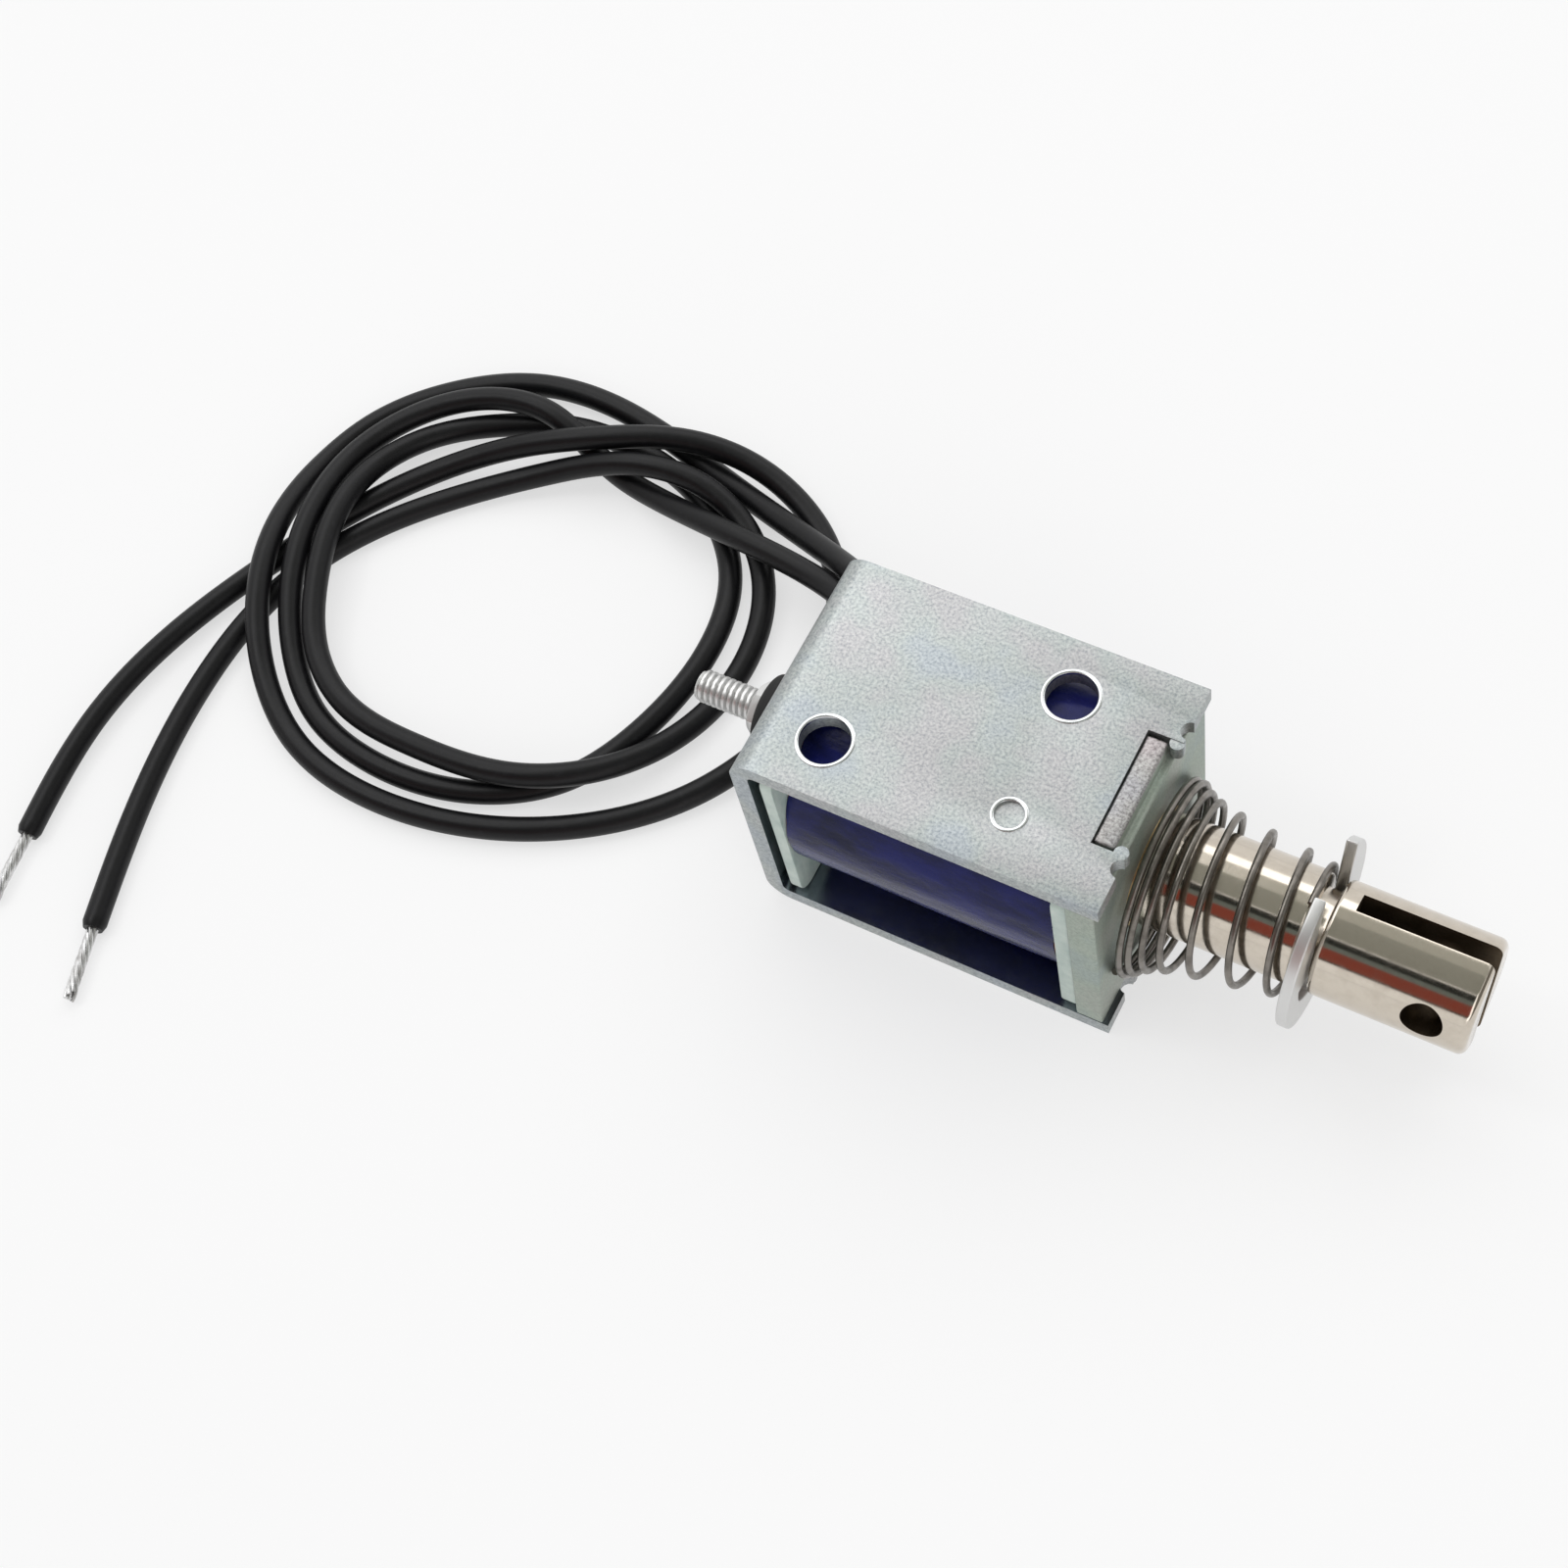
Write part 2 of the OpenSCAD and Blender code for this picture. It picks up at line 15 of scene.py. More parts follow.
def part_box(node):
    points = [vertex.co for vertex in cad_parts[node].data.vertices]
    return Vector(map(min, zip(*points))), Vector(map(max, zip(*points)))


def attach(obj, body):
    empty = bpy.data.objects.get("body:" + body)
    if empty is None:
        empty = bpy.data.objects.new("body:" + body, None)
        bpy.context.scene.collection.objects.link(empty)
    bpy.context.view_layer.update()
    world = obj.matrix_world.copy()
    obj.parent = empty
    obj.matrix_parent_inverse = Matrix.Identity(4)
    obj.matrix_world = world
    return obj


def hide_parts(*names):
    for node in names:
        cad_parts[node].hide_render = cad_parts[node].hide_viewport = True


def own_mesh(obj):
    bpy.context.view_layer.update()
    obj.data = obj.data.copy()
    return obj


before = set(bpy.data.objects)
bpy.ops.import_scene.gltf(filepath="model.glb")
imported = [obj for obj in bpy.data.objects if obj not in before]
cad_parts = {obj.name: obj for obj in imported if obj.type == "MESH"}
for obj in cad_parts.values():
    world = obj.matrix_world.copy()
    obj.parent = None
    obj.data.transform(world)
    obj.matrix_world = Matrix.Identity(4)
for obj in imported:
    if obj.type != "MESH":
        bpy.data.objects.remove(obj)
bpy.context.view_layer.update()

log = logging.getLogger("solenoid")

MM = 0.001
WHITE = (1.0, 1.0, 1.0, 1.0)
UP = (0.0, 0.0, 1.0)
Point = tuple[float, float, float]
Colour = tuple[float, float, float]
Piece = bpy.types.Object
Face = bpy.types.MeshPolygon


class Body(Enum):
    """The two bodies of the part."""

    COIL = "coil_and_frame"
    PLUNGER = "plunger_assembly"


class Slot(Enum):
    """The record's material slots."""

    ZINC = "zinc_steel"
    POLE = "pole_steel"
    BOBBIN = "bobbin_plastic"
    TAPE = "coil_tape"
    FIBRE = "fibre_sheet"
    BRASS = "sleeve_brass"
    CORE = "core_iron"
    TINNED = "tinned_copper"
    INSULATION = "lead_insulation"
    SPRING = "spring_wire"
    NICKEL = "plunger_nickel"
    NYLON = "residual_nylon"
    ROD = "rod_steel"
    NUT = "nut_steel"
    WASHER = "washer_steel"
    RUBBER = "stop_rubber"
    CLIP = "clip_steel"


def linear(red: int, green: int, blue: int) -> Colour:
    """Turns a display colour of 0 to 255 per channel into linear light."""
    def one(value: int) -> float:
        """Converts one channel."""
        share = value / 255
        return share / 12.92 if share <= 0.04045 else ((share + 0.055) / 1.055) ** 2.4

    return one(red), one(green), one(blue)


# ------------------------------------------------------------------ shader graphs


class Wire:
    """An output socket, on which plain arithmetic adds Math nodes."""

    def __init__(self, graph: "Graph", socket: bpy.types.NodeSocket) -> None:
        """Wraps an output socket of a graph."""
        self.graph = graph
        self.socket = socket

    def _math(self, operation: str, first: "Value", second: "Value") -> "Wire":
        """Adds one Math node, and gives its result."""
        return self.graph.make("ShaderNodeMath", {"operation": operation}, {0: first, 1: second})

    def __add__(self, other: "Value") -> "Wire":
        """Adds."""
        return self._math("ADD", self, other)

    def __sub__(self, other: "Value") -> "Wire":
        """Subtracts."""
        return self._math("SUBTRACT", self, other)

    def __rsub__(self, other: "Value") -> "Wire":
        """Subtracts the wire."""
        return self._math("SUBTRACT", other, self)

    def __mul__(self, other: "Value") -> "Wire":
        """Multiplies."""
        return self._math("MULTIPLY", self, other)

    def __or__(self, other: "Value") -> "Wire":
        """Takes the greater of two."""
        return self._math("MAXIMUM", self, other)

    __radd__, __rmul__, __ror__ = __add__, __mul__, __or__


Value = float | Sequence[float] | Wire


@dataclass(frozen=True)
class Noise:
    """A noise pattern: its waves per mm, its finer layers, their strength, and how it is stretched."""

    per_mm: float
    detail: float = 3.0
    roughness: float = 0.55
    scale: Point | None = None
    turn_deg: float = 0.0


class Graph:
    """The node tree of a material or a world, cleared for new nodes."""

    def __init__(self, owner: bpy.types.Material | bpy.types.World) -> None:
        """Clears the owner's tree.

        Args:
            owner: The material or world.
        """
        owner.use_nodes = True
        self.tree = owner.node_tree
        self.tree.nodes.clear()

    def make(
        self,
        kind: str,
        settings: Mapping[str, object] | None = None,
        inputs: Mapping[str | int, Value] | None = None,
        output: str | int = 0,
    ) -> Wire:
        """Adds a node.

        Args:
            kind: The node's type.
            settings: Its properties, set first; "stops" gives a ramp's (place, colour) pairs.
            inputs: The values or wires of its sockets, by name or number.
            output: The output that is wanted.

        Returns:
            That output.
        """
        node = self.tree.nodes.new(kind)
        for name, value in (settings or {}).items():
            if name == "stops":
                self._set_stops(node.color_ramp, value)
            else:
                setattr(node, name, value)
        for name, value in (inputs or {}).items():
            if isinstance(value, Wire):
                self.tree.links.new(value.socket, node.inputs[name])
            else:
                node.inputs[name].default_value = value
        return Wire(self, node.outputs[output]) if len(node.outputs) else Wire(self, None)

    @staticmethod
    def _set_stops(ramp: bpy.types.ColorRamp, stops: Sequence[tuple[float, Colour]]) -> None:
        """Sets a ramp's stops."""
        while len(ramp.elements) < len(stops):
            ramp.elements.new(1.0)
        for element, (place, colour) in zip(ramp.elements, stops):
            element.position = place
            element.color = (*colour, 1.0)

    def place(self) -> Wire:
        """The point in the object's own metres."""
        return self.make("ShaderNodeTexCoord", output="Object")

    def seen(self) -> Wire:
        """1 where the camera looks, straight or by mirror or glass, and 0 for light on the part."""
        kinds = ("Is Camera Ray", "Is Glossy Ray", "Is Transmission Ray")
        camera, glossy, through = (self.make("ShaderNodeLightPath", output=k) for k in kinds)
        return camera | glossy | through

    def vector(self, operation: str, first: Wire, second: Point, output: str | int = 0) -> Wire:
        """Adds one Vector Math node, and gives its result."""
        return self.make("ShaderNodeVectorMath", {"operation": operation}, {0: first, 1: second}, output)

    def stretched(self, scale: Point, turn_deg: float) -> Wire:
        """The point, scaled along each axis and turned about Z."""
        inputs = {"Vector": self.place(), "Scale": scale, "Rotation": (0.0, 0.0, math.radians(turn_deg))}
        return self.make("ShaderNodeMapping", inputs=inputs)

    def noise(self, pattern: Noise) -> Wire:
        """Fractal noise from 0 to 1.

        Args:
            pattern: Its pattern.

        Returns:
            The noise.
        """
        where = self.stretched(pattern.scale, pattern.turn_deg) if pattern.scale else self.place()
        inputs: dict[str | int, Value] = {"Vector": where, "Scale": pattern.per_mm / MM}
        inputs |= {"Detail": pattern.detail, "Roughness": pattern.roughness}
        return self.make("ShaderNodeTexNoise", inputs=inputs)

    def ramp(self, value: Wire, *stops: tuple[float, Colour]) -> Wire:
        """Colours a value by places and colours."""
        return self.make("ShaderNodeValToRGB", {"stops": stops}, {"Fac": value})

    def between(self, value: Wire, low: float, high: float, end: float = 1.0) -> Wire:
        """Maps what lies from low to high onto 0 to end, clamped."""
        ends = {"Value": value, 1: low, 2: high, 3: 0.0, 4: end}
        return self.make("ShaderNodeMapRange", {"clamp": True}, ends)

    def blend(self, share: Value, first: Value, second: Value, how: str = "MIX") -> Wire:
        """Mixes two colours."""
        ends = (c if isinstance(c, Wire) else (*c, 1.0) for c in (first, second))
        return self.make(
            "ShaderNodeMix", {"data_type": "RGBA", "blend_type": how},
            {"Factor": share, **dict(zip((6, 7), ends))}, output=2,
        )

    def bump(self, height: Wire, depth_mm: float, strength: float, under: Wire | None = None) -> Wire:
        """A bumped normal.

        Args:
            height: The height from 0 to 1.
            depth_mm: What a height of 1 stands for.
            strength: The bump's strength.
            under: A normal that this one adds to.

        Returns:
            The normal.
        """
        inputs: dict[str | int, Value] = {"Height": height, "Distance": depth_mm * MM}
        inputs["Strength"] = strength
        if under is not None:
            inputs["Normal"] = under
        return self.make("ShaderNodeBump", inputs=inputs, output="Normal")

    def surface(self, **values: Value) -> None:
        """Ends the graph in a Principled shader.

        Args:
            **values: The shader's sockets, with _ for the spaces in their names.
        """
        inputs: dict[str | int, Value] = {}
        for name, value in values.items():
            socket = name.replace("_", " ")
            plain_colour = socket == "Base Color" and not isinstance(value, Wire)
            inputs[socket] = (*value, 1.0) if plain_colour else value
        shader = self.make("ShaderNodeBsdfPrincipled", inputs=inputs, output="BSDF")
        self.make("ShaderNodeOutputMaterial", inputs={"Surface": shader})


# ------------------------------------------------------------------ finishes


@dataclass(frozen=True)
class Finish:
    """A finish that paints one Blender material."""

    name: str

    def material(self) -> bpy.types.Material:
        """The material, made on first use."""
        found = bpy.data.materials.get(self.name)
        if found is None:
            found = bpy.data.materials.new(self.name)
            self.paint(Graph(found))
        return found

    def paint(self, graph: Graph) -> None:
        """Adds the finish's nodes."""
        raise NotImplementedError


@dataclass(frozen=True)
class ZincPlate(Finish):
    """Bright zinc plating on sheet steel: fine grains, faint tints and a few dull spots."""

    pale: Colour = linear(204, 206, 206)
    dull: Colour = linear(146, 151, 155)
    blue_tint: Colour = linear(204, 214, 222)
    green_tint: Colour = linear(214, 221, 216)
    pink_tint: Colour = linear(222, 216, 217)
    grain: Noise = Noise(3.2, 4.0, 0.7)
    broad: Noise = Noise(0.09, 2.0)
    tints: Noise = Noise(0.12, 2.0)
    spots: Noise = Noise(0.8, 6.0, 0.75)
    tint_share: float = 0.6
    spot_share: float = 0.45
    metallic: float = 0.92
    roughness: float = 0.34
    grain_mm: float = 0.02

    def paint(self, graph: Graph) -> None:
        """Adds the finish's nodes."""
        grain = graph.noise(self.grain)
        colour = graph.ramp(grain, (0.30, self.dull), (0.62, self.pale))
        tint = graph.ramp(
            graph.noise(self.tints),
            (0.36, self.blue_tint), (0.48, self.green_tint), (0.62, self.pink_tint),
        )
        colour = graph.blend(self.tint_share, colour, tint, "MULTIPLY")
        spots = graph.between(graph.noise(self.spots), 0.62, 0.72, self.spot_share)
        graph.surface(
            Base_Color=graph.blend(spots, colour, self.dull),
            Metallic=self.metallic,
            Roughness=self.roughness + 0.10 * grain + 0.14 * graph.noise(self.broad),
            Normal=graph.bump(grain, self.grain_mm, 0.55),
        )


@dataclass(frozen=True)
class TurnedMetal(Finish):
    """A plated or bare turned metal, with fine marks and slight stains."""

    colour: Colour
    stain: Colour
    roughness: float
    marks_mm: float
    stain_share: float
    marks: Noise = Noise(1.1, 3.0, 0.6, (12.0, 1.0, 1.0))
    stains: Noise = Noise(0.6, 4.0, 0.65)

    def paint(self, graph: Graph) -> None:
        """Adds the finish's nodes."""
        marks = graph.noise(self.marks)
        stains = graph.between(graph.noise(self.stains), 0.42, 0.68, self.stain_share)
        graph.surface(
            Base_Color=graph.blend(stains, self.colour, self.stain),
            Metallic=1.0,
            Roughness=self.roughness + 0.10 * marks + 0.25 * stains,
            Normal=graph.bump(marks, self.marks_mm, 0.5),
        )


@dataclass(frozen=True)
class ThreadedMetal(Finish):
    """A plated thread: bright on its crests, with painted shade darkening its roots."""

    crest: Colour = linear(206, 204, 198)
    # Painted shade: the near-black colour of the thread's roots.
    root_shade: Colour = linear(22, 20, 18)
    axis_z: float = 15.0 * MM
    root_r: float = 1.52 * MM
    crest_r: float = 1.80 * MM
    grime: Noise = Noise(1.2, 4.0, 0.65)
    grime_mm: float = 0.01

    def paint(self, graph: Graph) -> None:
        """Adds the finish's nodes."""
        from_axis = graph.vector("SUBTRACT", graph.place(), (0.0, 0.0, self.axis_z))
        across = graph.vector("MULTIPLY", from_axis, (0.0, 1.0, 1.0))
        radius = graph.vector("LENGTH", across, (0.0, 0.0, 0.0), "Value")
        height = graph.between(radius, self.root_r, self.crest_r)
        grime = graph.noise(self.grime)
        graph.surface(
            # Painted shade: the colour darkens from crest to root by radius, varied at random by the
            # grime noise.
            Base_Color=graph.blend(height * (0.7 + 0.5 * grime), self.root_shade, self.crest),
            Metallic=0.9,
            Roughness=0.42 - 0.14 * height,
            Normal=graph.bump(grime, self.grime_mm, 0.4),
        )


@dataclass(frozen=True)
class MilkyNylon(Finish):
    """Moulded nylon, milky with a green cast."""

    colour: Colour = linear(196, 208, 200)
    deep: Colour = linear(160, 178, 172)
    flow: Noise = Noise(0.25, 3.0, 0.6, (1.0, 2.5, 1.0))
    fine: Noise = Noise(3.0, 2.0)
    fine_mm: float = 0.01
    light_depth: Point = (0.6 * MM, 0.8 * MM, 0.7 * MM)

    def paint(self, graph: Graph) -> None:
        """Adds the finish's nodes."""
        fine = graph.noise(self.fine)
        graph.surface(
            Base_Color=graph.ramp(graph.noise(self.flow), (0.30, self.deep), (0.62, self.colour)),
            Roughness=0.38 + 0.12 * fine,
            Normal=graph.bump(fine, self.fine_mm, 0.4),
            Subsurface_Weight=0.25,
            Subsurface_Radius=self.light_depth,
            Subsurface_Scale=1.0,
        )


@dataclass(frozen=True)
class CoilTape(Finish):
    """Navy polyester tape, with soft creases and painted shade in them."""

    colour: Colour = linear(24, 29, 92)
    shadow: Colour = linear(12, 16, 50)
    creases: Noise = Noise(0.32, 4.0, 0.62, (0.45, 1.0, 1.0), 14.0)
    crease_mm: float = 0.22
    fine: Noise = Noise(1.6, 2.0)
    fine_mm: float = 0.01

    def paint(self, graph: Graph) -> None:
        """Adds the finish's nodes."""
        creases, fine = graph.noise(self.creases), graph.noise(self.fine)
        creased = graph.bump(creases, self.crease_mm, 0.7)
        graph.surface(
            # Painted shade: the creases' low places take the darker shadow colour.
            Base_Color=graph.ramp(creases, (0.32, self.shadow), (0.60, self.colour)),
            Roughness=0.20 + 0.12 * fine,
            Normal=graph.bump(fine, self.fine_mm, 0.3, creased),
            Specular_IOR_Level=0.2,
        )


@dataclass(frozen=True)
class CopperWinding(Finish):
    """Enamelled wire laid side by side."""

    colour: Colour = linear(176, 96, 52)
    gap: Colour = linear(84, 38, 20)
    wire_mm: float = 0.3
    wave_scale: float = 0.314
    relief_mm: float = 0.1

    def paint(self, graph: Graph) -> None:
        """Adds the finish's nodes."""
        scale = self.wave_scale / (self.wire_mm * MM)
        inputs = {"Vector": graph.place(), "Scale": scale, "Distortion": 0.2}
        along = graph.make("ShaderNodeTexWave", {"bands_direction": "X"}, inputs, output=1)
        graph.surface(
            Base_Color=graph.ramp(along, (0.08, self.gap), (0.45, self.colour)),
            Metallic=0.8,
            Roughness=0.3,
            Normal=graph.bump(along, self.relief_mm, 0.8),
        )


@dataclass(frozen=True)
class Insulation(Finish):
    """Satin black cable insulation with slight waves and rubbed marks."""

    colour: Colour = linear(12, 12, 14)
    rubbed: Colour = linear(27, 27, 30)
    waves: Noise = Noise(0.22, 3.0, 0.5)
    wave_mm: float = 0.18
    fine: Noise = Noise(2.2, 3.0)
    fine_mm: float = 0.012
    marks: Noise = Noise(0.7, 5.0, 0.7)
    mark_share: float = 0.6

    def paint(self, graph: Graph) -> None:
        """Adds the finish's nodes."""
        fine = graph.noise(self.fine)
        marks = graph.between(graph.noise(self.marks), 0.56, 0.74, self.mark_share)
        waved = graph.bump(graph.noise(self.waves), self.wave_mm, 0.35)
        graph.surface(
            Base_Color=graph.blend(marks, self.colour, self.rubbed),
            Roughness=0.34 + 0.14 * fine,
            Normal=graph.bump(fine, self.fine_mm, 0.35, waved),
            Specular_IOR_Level=0.26,
        )


@dataclass(frozen=True)
class FibreSheet(Finish):
    """Pressed fibre sheet."""

    colour: Colour = linear(62, 74, 74)
    fleck: Colour = linear(30, 36, 38)
    flecks: Noise = Noise(1.4, 5.0, 0.7)
    fleck_mm: float = 0.04

    def paint(self, graph: Graph) -> None:
        """Adds the finish's nodes."""
        flecks = graph.noise(self.flecks)
        colour = graph.ramp(flecks, (0.34, self.fleck), (0.64, self.colour))
        graph.surface(Base_Color=colour, Roughness=0.7, Normal=graph.bump(flecks, self.fleck_mm, 0.6))


@dataclass(frozen=True)
class StopRubber(Finish):
    """Black moulded rubber, with dusty patches."""

    colour: Colour = linear(22, 22, 23)
    dust: Colour = linear(52, 50, 48)
    dust_share: float = 0.7
    fine: Noise = Noise(1.8, 5.0, 0.7)
    fine_mm: float = 0.05

    def paint(self, graph: Graph) -> None:
        """Adds the finish's nodes."""
        fine = graph.noise(self.fine)
        dusty = graph.between(fine, 0.52, 0.74, self.dust_share)
        colour = graph.blend(dusty, self.colour, self.dust)
        graph.surface(Base_Color=colour, Roughness=0.62, Normal=graph.bump(fine, self.fine_mm, 0.5))


@dataclass(frozen=True)
class PlainFloor(Finish):
    """A white floor that shows as white and keeps the part's soft shadow."""

    colour: Colour = (0.86, 0.86, 0.86)
    own_light: float = 0.62

    def paint(self, graph: Graph) -> None:
        """Adds the finish's nodes."""
        diffuse = graph.make("ShaderNodeBsdfDiffuse", inputs={"Color": (*self.colour, 1.0)})
        white = graph.make("ShaderNodeEmission", inputs={"Color": WHITE, "Strength": 1.0})
        share = self.own_light * graph.seen()
        mixed = graph.make("ShaderNodeMixShader", inputs={0: share, 1: diffuse, 2: white})
        graph.make("ShaderNodeOutputMaterial", inputs={"Surface": mixed})


@dataclass(frozen=True)
class CardPaint(Finish):
    """A reflection card's own even tone."""

    tone: Colour

    def paint(self, graph: Graph) -> None:
        """Adds the finish's nodes."""
        glow = graph.make("ShaderNodeEmission", inputs={"Color": (*self.tone, 1.0), "Strength": 1.0})
        graph.make("ShaderNodeOutputMaterial", inputs={"Surface": glow})


ZINC = ZincPlate("zinc_plate")
RIM_ZINC = TurnedMetal("zinc_rim", linear(214, 217, 218), linear(168, 172, 176), 0.16, 0.006, 0.3)
# Painted shade: a darker base colour on the bracket's inside faces, with a smoother finish.
SHADED_INNER_ZINC = TurnedMetal("zinc_inside_painted_shade", linear(134, 142, 150), linear(96, 104, 112), 0.13, 0.004, 0.25)
POLE_ZINC = ZincPlate(
    "zinc_pole", pale=linear(190, 198, 188), dull=linear(162, 170, 162), roughness=0.40, grain_mm=0.006
)
TAB_ZINC = ZincPlate("zinc_tab", pale=linear(206, 202, 202), dull=linear(120, 114, 116), grain_mm=0.05)
NICKEL = TurnedMetal("bright_nickel", linear(206, 197, 184), linear(158, 147, 132), 0.07, 0.002, 0.2)
# Painted shade: dark brown on the walls of the slot and the cross hole.
SLOT_SHADE_METAL = TurnedMetal("slot_wall_painted_shade", linear(104, 92, 76), linear(64, 54, 43), 0.34, 0.01, 0.6)
SPRING_STEEL = TurnedMetal("spring_steel", linear(132, 127, 121), linear(66, 62, 57), 0.24, 0.006, 0.5)
CLIP_STEEL = TurnedMetal("clip_steel", linear(176, 174, 169), linear(104, 99, 92), 0.18, 0.012, 0.5)
# The rod's thread, with painted shade in its roots.
ROD_STEEL = ThreadedMetal("rod_steel")
NUT_STEEL = TurnedMetal("nut_steel", linear(176, 174, 169), linear(112, 107, 100), 0.2, 0.01, 0.5)
WASHER_STEEL = TurnedMetal("washer_steel", linear(158, 158, 154), linear(104, 102, 98), 0.34, 0.01, 0.5)
CORE_IRON = TurnedMetal("core_iron", linear(178, 180, 182), linear(120, 122, 124), 0.3, 0.01, 0.5)
BRASS = TurnedMetal("sleeve_brass", linear(206, 170, 96), linear(150, 112, 56), 0.25, 0.004, 0.4)
TINNED = TurnedMetal("tinned_strands", linear(214, 214, 214), linear(130, 126, 122), 0.24, 0.02, 0.5)
BOBBIN = MilkyNylon("milky_nylon")
NYLON = MilkyNylon("disc_nylon", linear(214, 200, 164), linear(190, 172, 130))
TAPE = CoilTape("navy_tape")
COPPER = CopperWinding("enamelled_copper")
INSULATION = Insulation("black_insulation")
FIBRE = FibreSheet("fibre_sheet")
RUBBER = StopRubber("stop_rubber")

# ------------------------------------------------------------------ meshes


def full_turn(count: int) -> list[float]:
    """Angles evenly spaced over a full turn, in radians."""
    return [2 * math.pi * k / count for k in range(count)]


def about(axis_z: float, x: float, r: float, a: float) -> Point:
    """The point at a radius and an angle about the plunger's axis."""
    return x, r * math.cos(a), axis_z + r * math.sin(a)
class Shape:
    """Makers of mesh objects, all in the part's own frame and metres."""

    weld: float = 1e-6
    flat_deg: float = 0.6

    @staticmethod
    def new(name: str, points: Iterable[Sequence[float]], faces: Iterable[Sequence[int]]) -> Piece:
        """Makes an object from points and faces.

        Args:
            name: The piece's name.
            points: The vertices, in metres.
            faces: The faces' vertex numbers.

        Returns:
            The object.
        """
        mesh = bpy.data.meshes.new(name)
        mesh.from_pydata([tuple(float(x) for x in p) for p in points], [], [tuple(f) for f in faces])
        mesh.validate()
        piece = bpy.data.objects.new(name, mesh)
        bpy.context.scene.collection.objects.link(piece)
        return piece

    @staticmethod
    def edit(piece: Piece, change: Callable[[bmesh.types.BMesh], None]) -> Piece:
        """Changes a piece's mesh.

        Args:
            piece: The object.
            change: What is done to its mesh.

        Returns:
            The object.
        """
        mesh = bmesh.new()
        mesh.from_mesh(piece.data)
        change(mesh)
        mesh.to_mesh(piece.data)
        mesh.free()
        piece.data.update()
        return piece

    @staticmethod
    def from_cad(node: str, name: str) -> Piece:
        """Copies a CAD node's mesh to a new piece, with flat areas joined into single faces.

        Args:
            node: The CAD node.
            name: The piece's name.

        Returns:
            The new object.
        """
        piece = bpy.data.objects.new(name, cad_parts[node].data.copy())
        piece.data.materials.clear()
        bpy.context.scene.collection.objects.link(piece)

        def clean(mesh: bmesh.types.BMesh) -> None:
            """Welds the corners and joins flat faces."""
            bmesh.ops.remove_doubles(mesh, verts=mesh.verts, dist=Shape.weld)
            flat = math.radians(Shape.flat_deg)
            bmesh.ops.dissolve_limit(mesh, angle_limit=flat, verts=mesh.verts, edges=mesh.edges)

        return Shape.edit(piece, clean)

    @staticmethod
    def bevel(
        piece: Piece,
        width_mm: float,
        segments: int = 2,
        angle_deg: float = 35.0,
        where: Callable[[Vector], bool] | None = None,
    ) -> Piece:
        """Rounds a piece's sharp edges.

        Args:
            piece: The object.
            width_mm: How far the rounding reaches.
            segments: Its number of steps.
            angle_deg: The least angle that counts as sharp.
            where: A test of an edge's middle, in metres, or None for all edges.

        Returns:
            The object.
        """
        def cut(mesh: bmesh.types.BMesh) -> None:
            """Bevels the chosen edges."""
            chosen = [
                edge for edge in mesh.edges
                if len(edge.link_faces) == 2
                and edge.calc_face_angle(0.0) > math.radians(angle_deg)
                and (where is None or where((edge.verts[0].co + edge.verts[1].co) / 2))
            ]
            bmesh.ops.bevel(
                mesh, geom=chosen, offset=width_mm * MM, segments=segments,
                affect="EDGES", profile=0.6, clamp_overlap=True,
            )

        return Shape.edit(piece, cut)

    @staticmethod
    def smooth(piece: Piece, angle_deg: float = 32.0) -> Piece:
        """Shades a piece smooth up to an angle.

        Args:
            piece: The object.
            angle_deg: Edges that turn more than this stay sharp.

        Returns:
            The object.
        """
        piece.data.shade_smooth()
        piece.data.set_sharp_from_angle(angle=math.radians(angle_deg))
        return piece

    @staticmethod
    def grid(rows: Sequence[Sequence[Point]], name: str, caps: bool = True) -> Piece:
        """Joins closed rings of points into a tube.

        Args:
            rows: The rings, each with the same number of points.
            name: The piece's name.
            caps: True closes both ends, and False joins the last ring to the first.

        Returns:
            The object.
        """
        count, around = len(rows), len(rows[0])
        points = [point for row in rows for point in row]
        faces: list[list[int]] = []
        for i in range(count - 1 if caps else count):
            j = (i + 1) % count
            for k in range(around):
                m = (k + 1) % around
                faces.append([i * around + k, i * around + m, j * around + m, j * around + k])
        if caps:
            faces.append(list(range(around))[::-1])
            faces.append([(count - 1) * around + k for k in range(around)])
        piece = Shape.new(name, points, faces)
        return Shape.edit(piece, lambda m: bmesh.ops.recalc_face_normals(m, faces=m.faces))

    @staticmethod
    def turned(
        name: str, profile: Sequence[tuple[float, float]], axis_z: float, around: int, ring: bool = False
    ) -> Piece:
        """Turns a profile of (x, radius) about the plunger's axis, or round a bore if it is a ring."""
        rows = [[about(axis_z, x, r, a) for a in full_turn(around)] for x, r in profile]
        return Shape.smooth(Shape.grid(rows, name, caps=not ring))

    @staticmethod
    def tube(
        name: str, path: np.ndarray, radius: Callable[[float], float], sides: int
    ) -> Piece:
        """Sweeps a round section along a path, with its radius given by the share of the path."""
        return Shape.smooth(Shape.grid(Shape.rings(path, radius, sides), name))

    @staticmethod
    def rings(path: np.ndarray, radius: Callable[[float], float], sides: int) -> list[list[Point]]:
        """The rings of a tube that doesn't twist.

        Args:
            path: The path's points.
            radius: The radius, given the share of the path.
            sides: Points in a ring.

        Returns:
            The rings.
        """
        ahead = np.gradient(path, axis=0)
        ahead /= np.linalg.norm(ahead, axis=1)[:, None]
        side = np.cross(ahead[0], UP)
        rows = []
        for i, (point, along) in enumerate(zip(path, ahead)):
            side = side - along * (side @ along)
            side = side / np.linalg.norm(side)
            up = np.cross(side, along)
            r = radius(i / (len(path) - 1))
            rows.append([
                tuple(point + r * (math.cos(a) * side + math.sin(a) * up)) for a in full_turn(sides)
            ])
        return rows

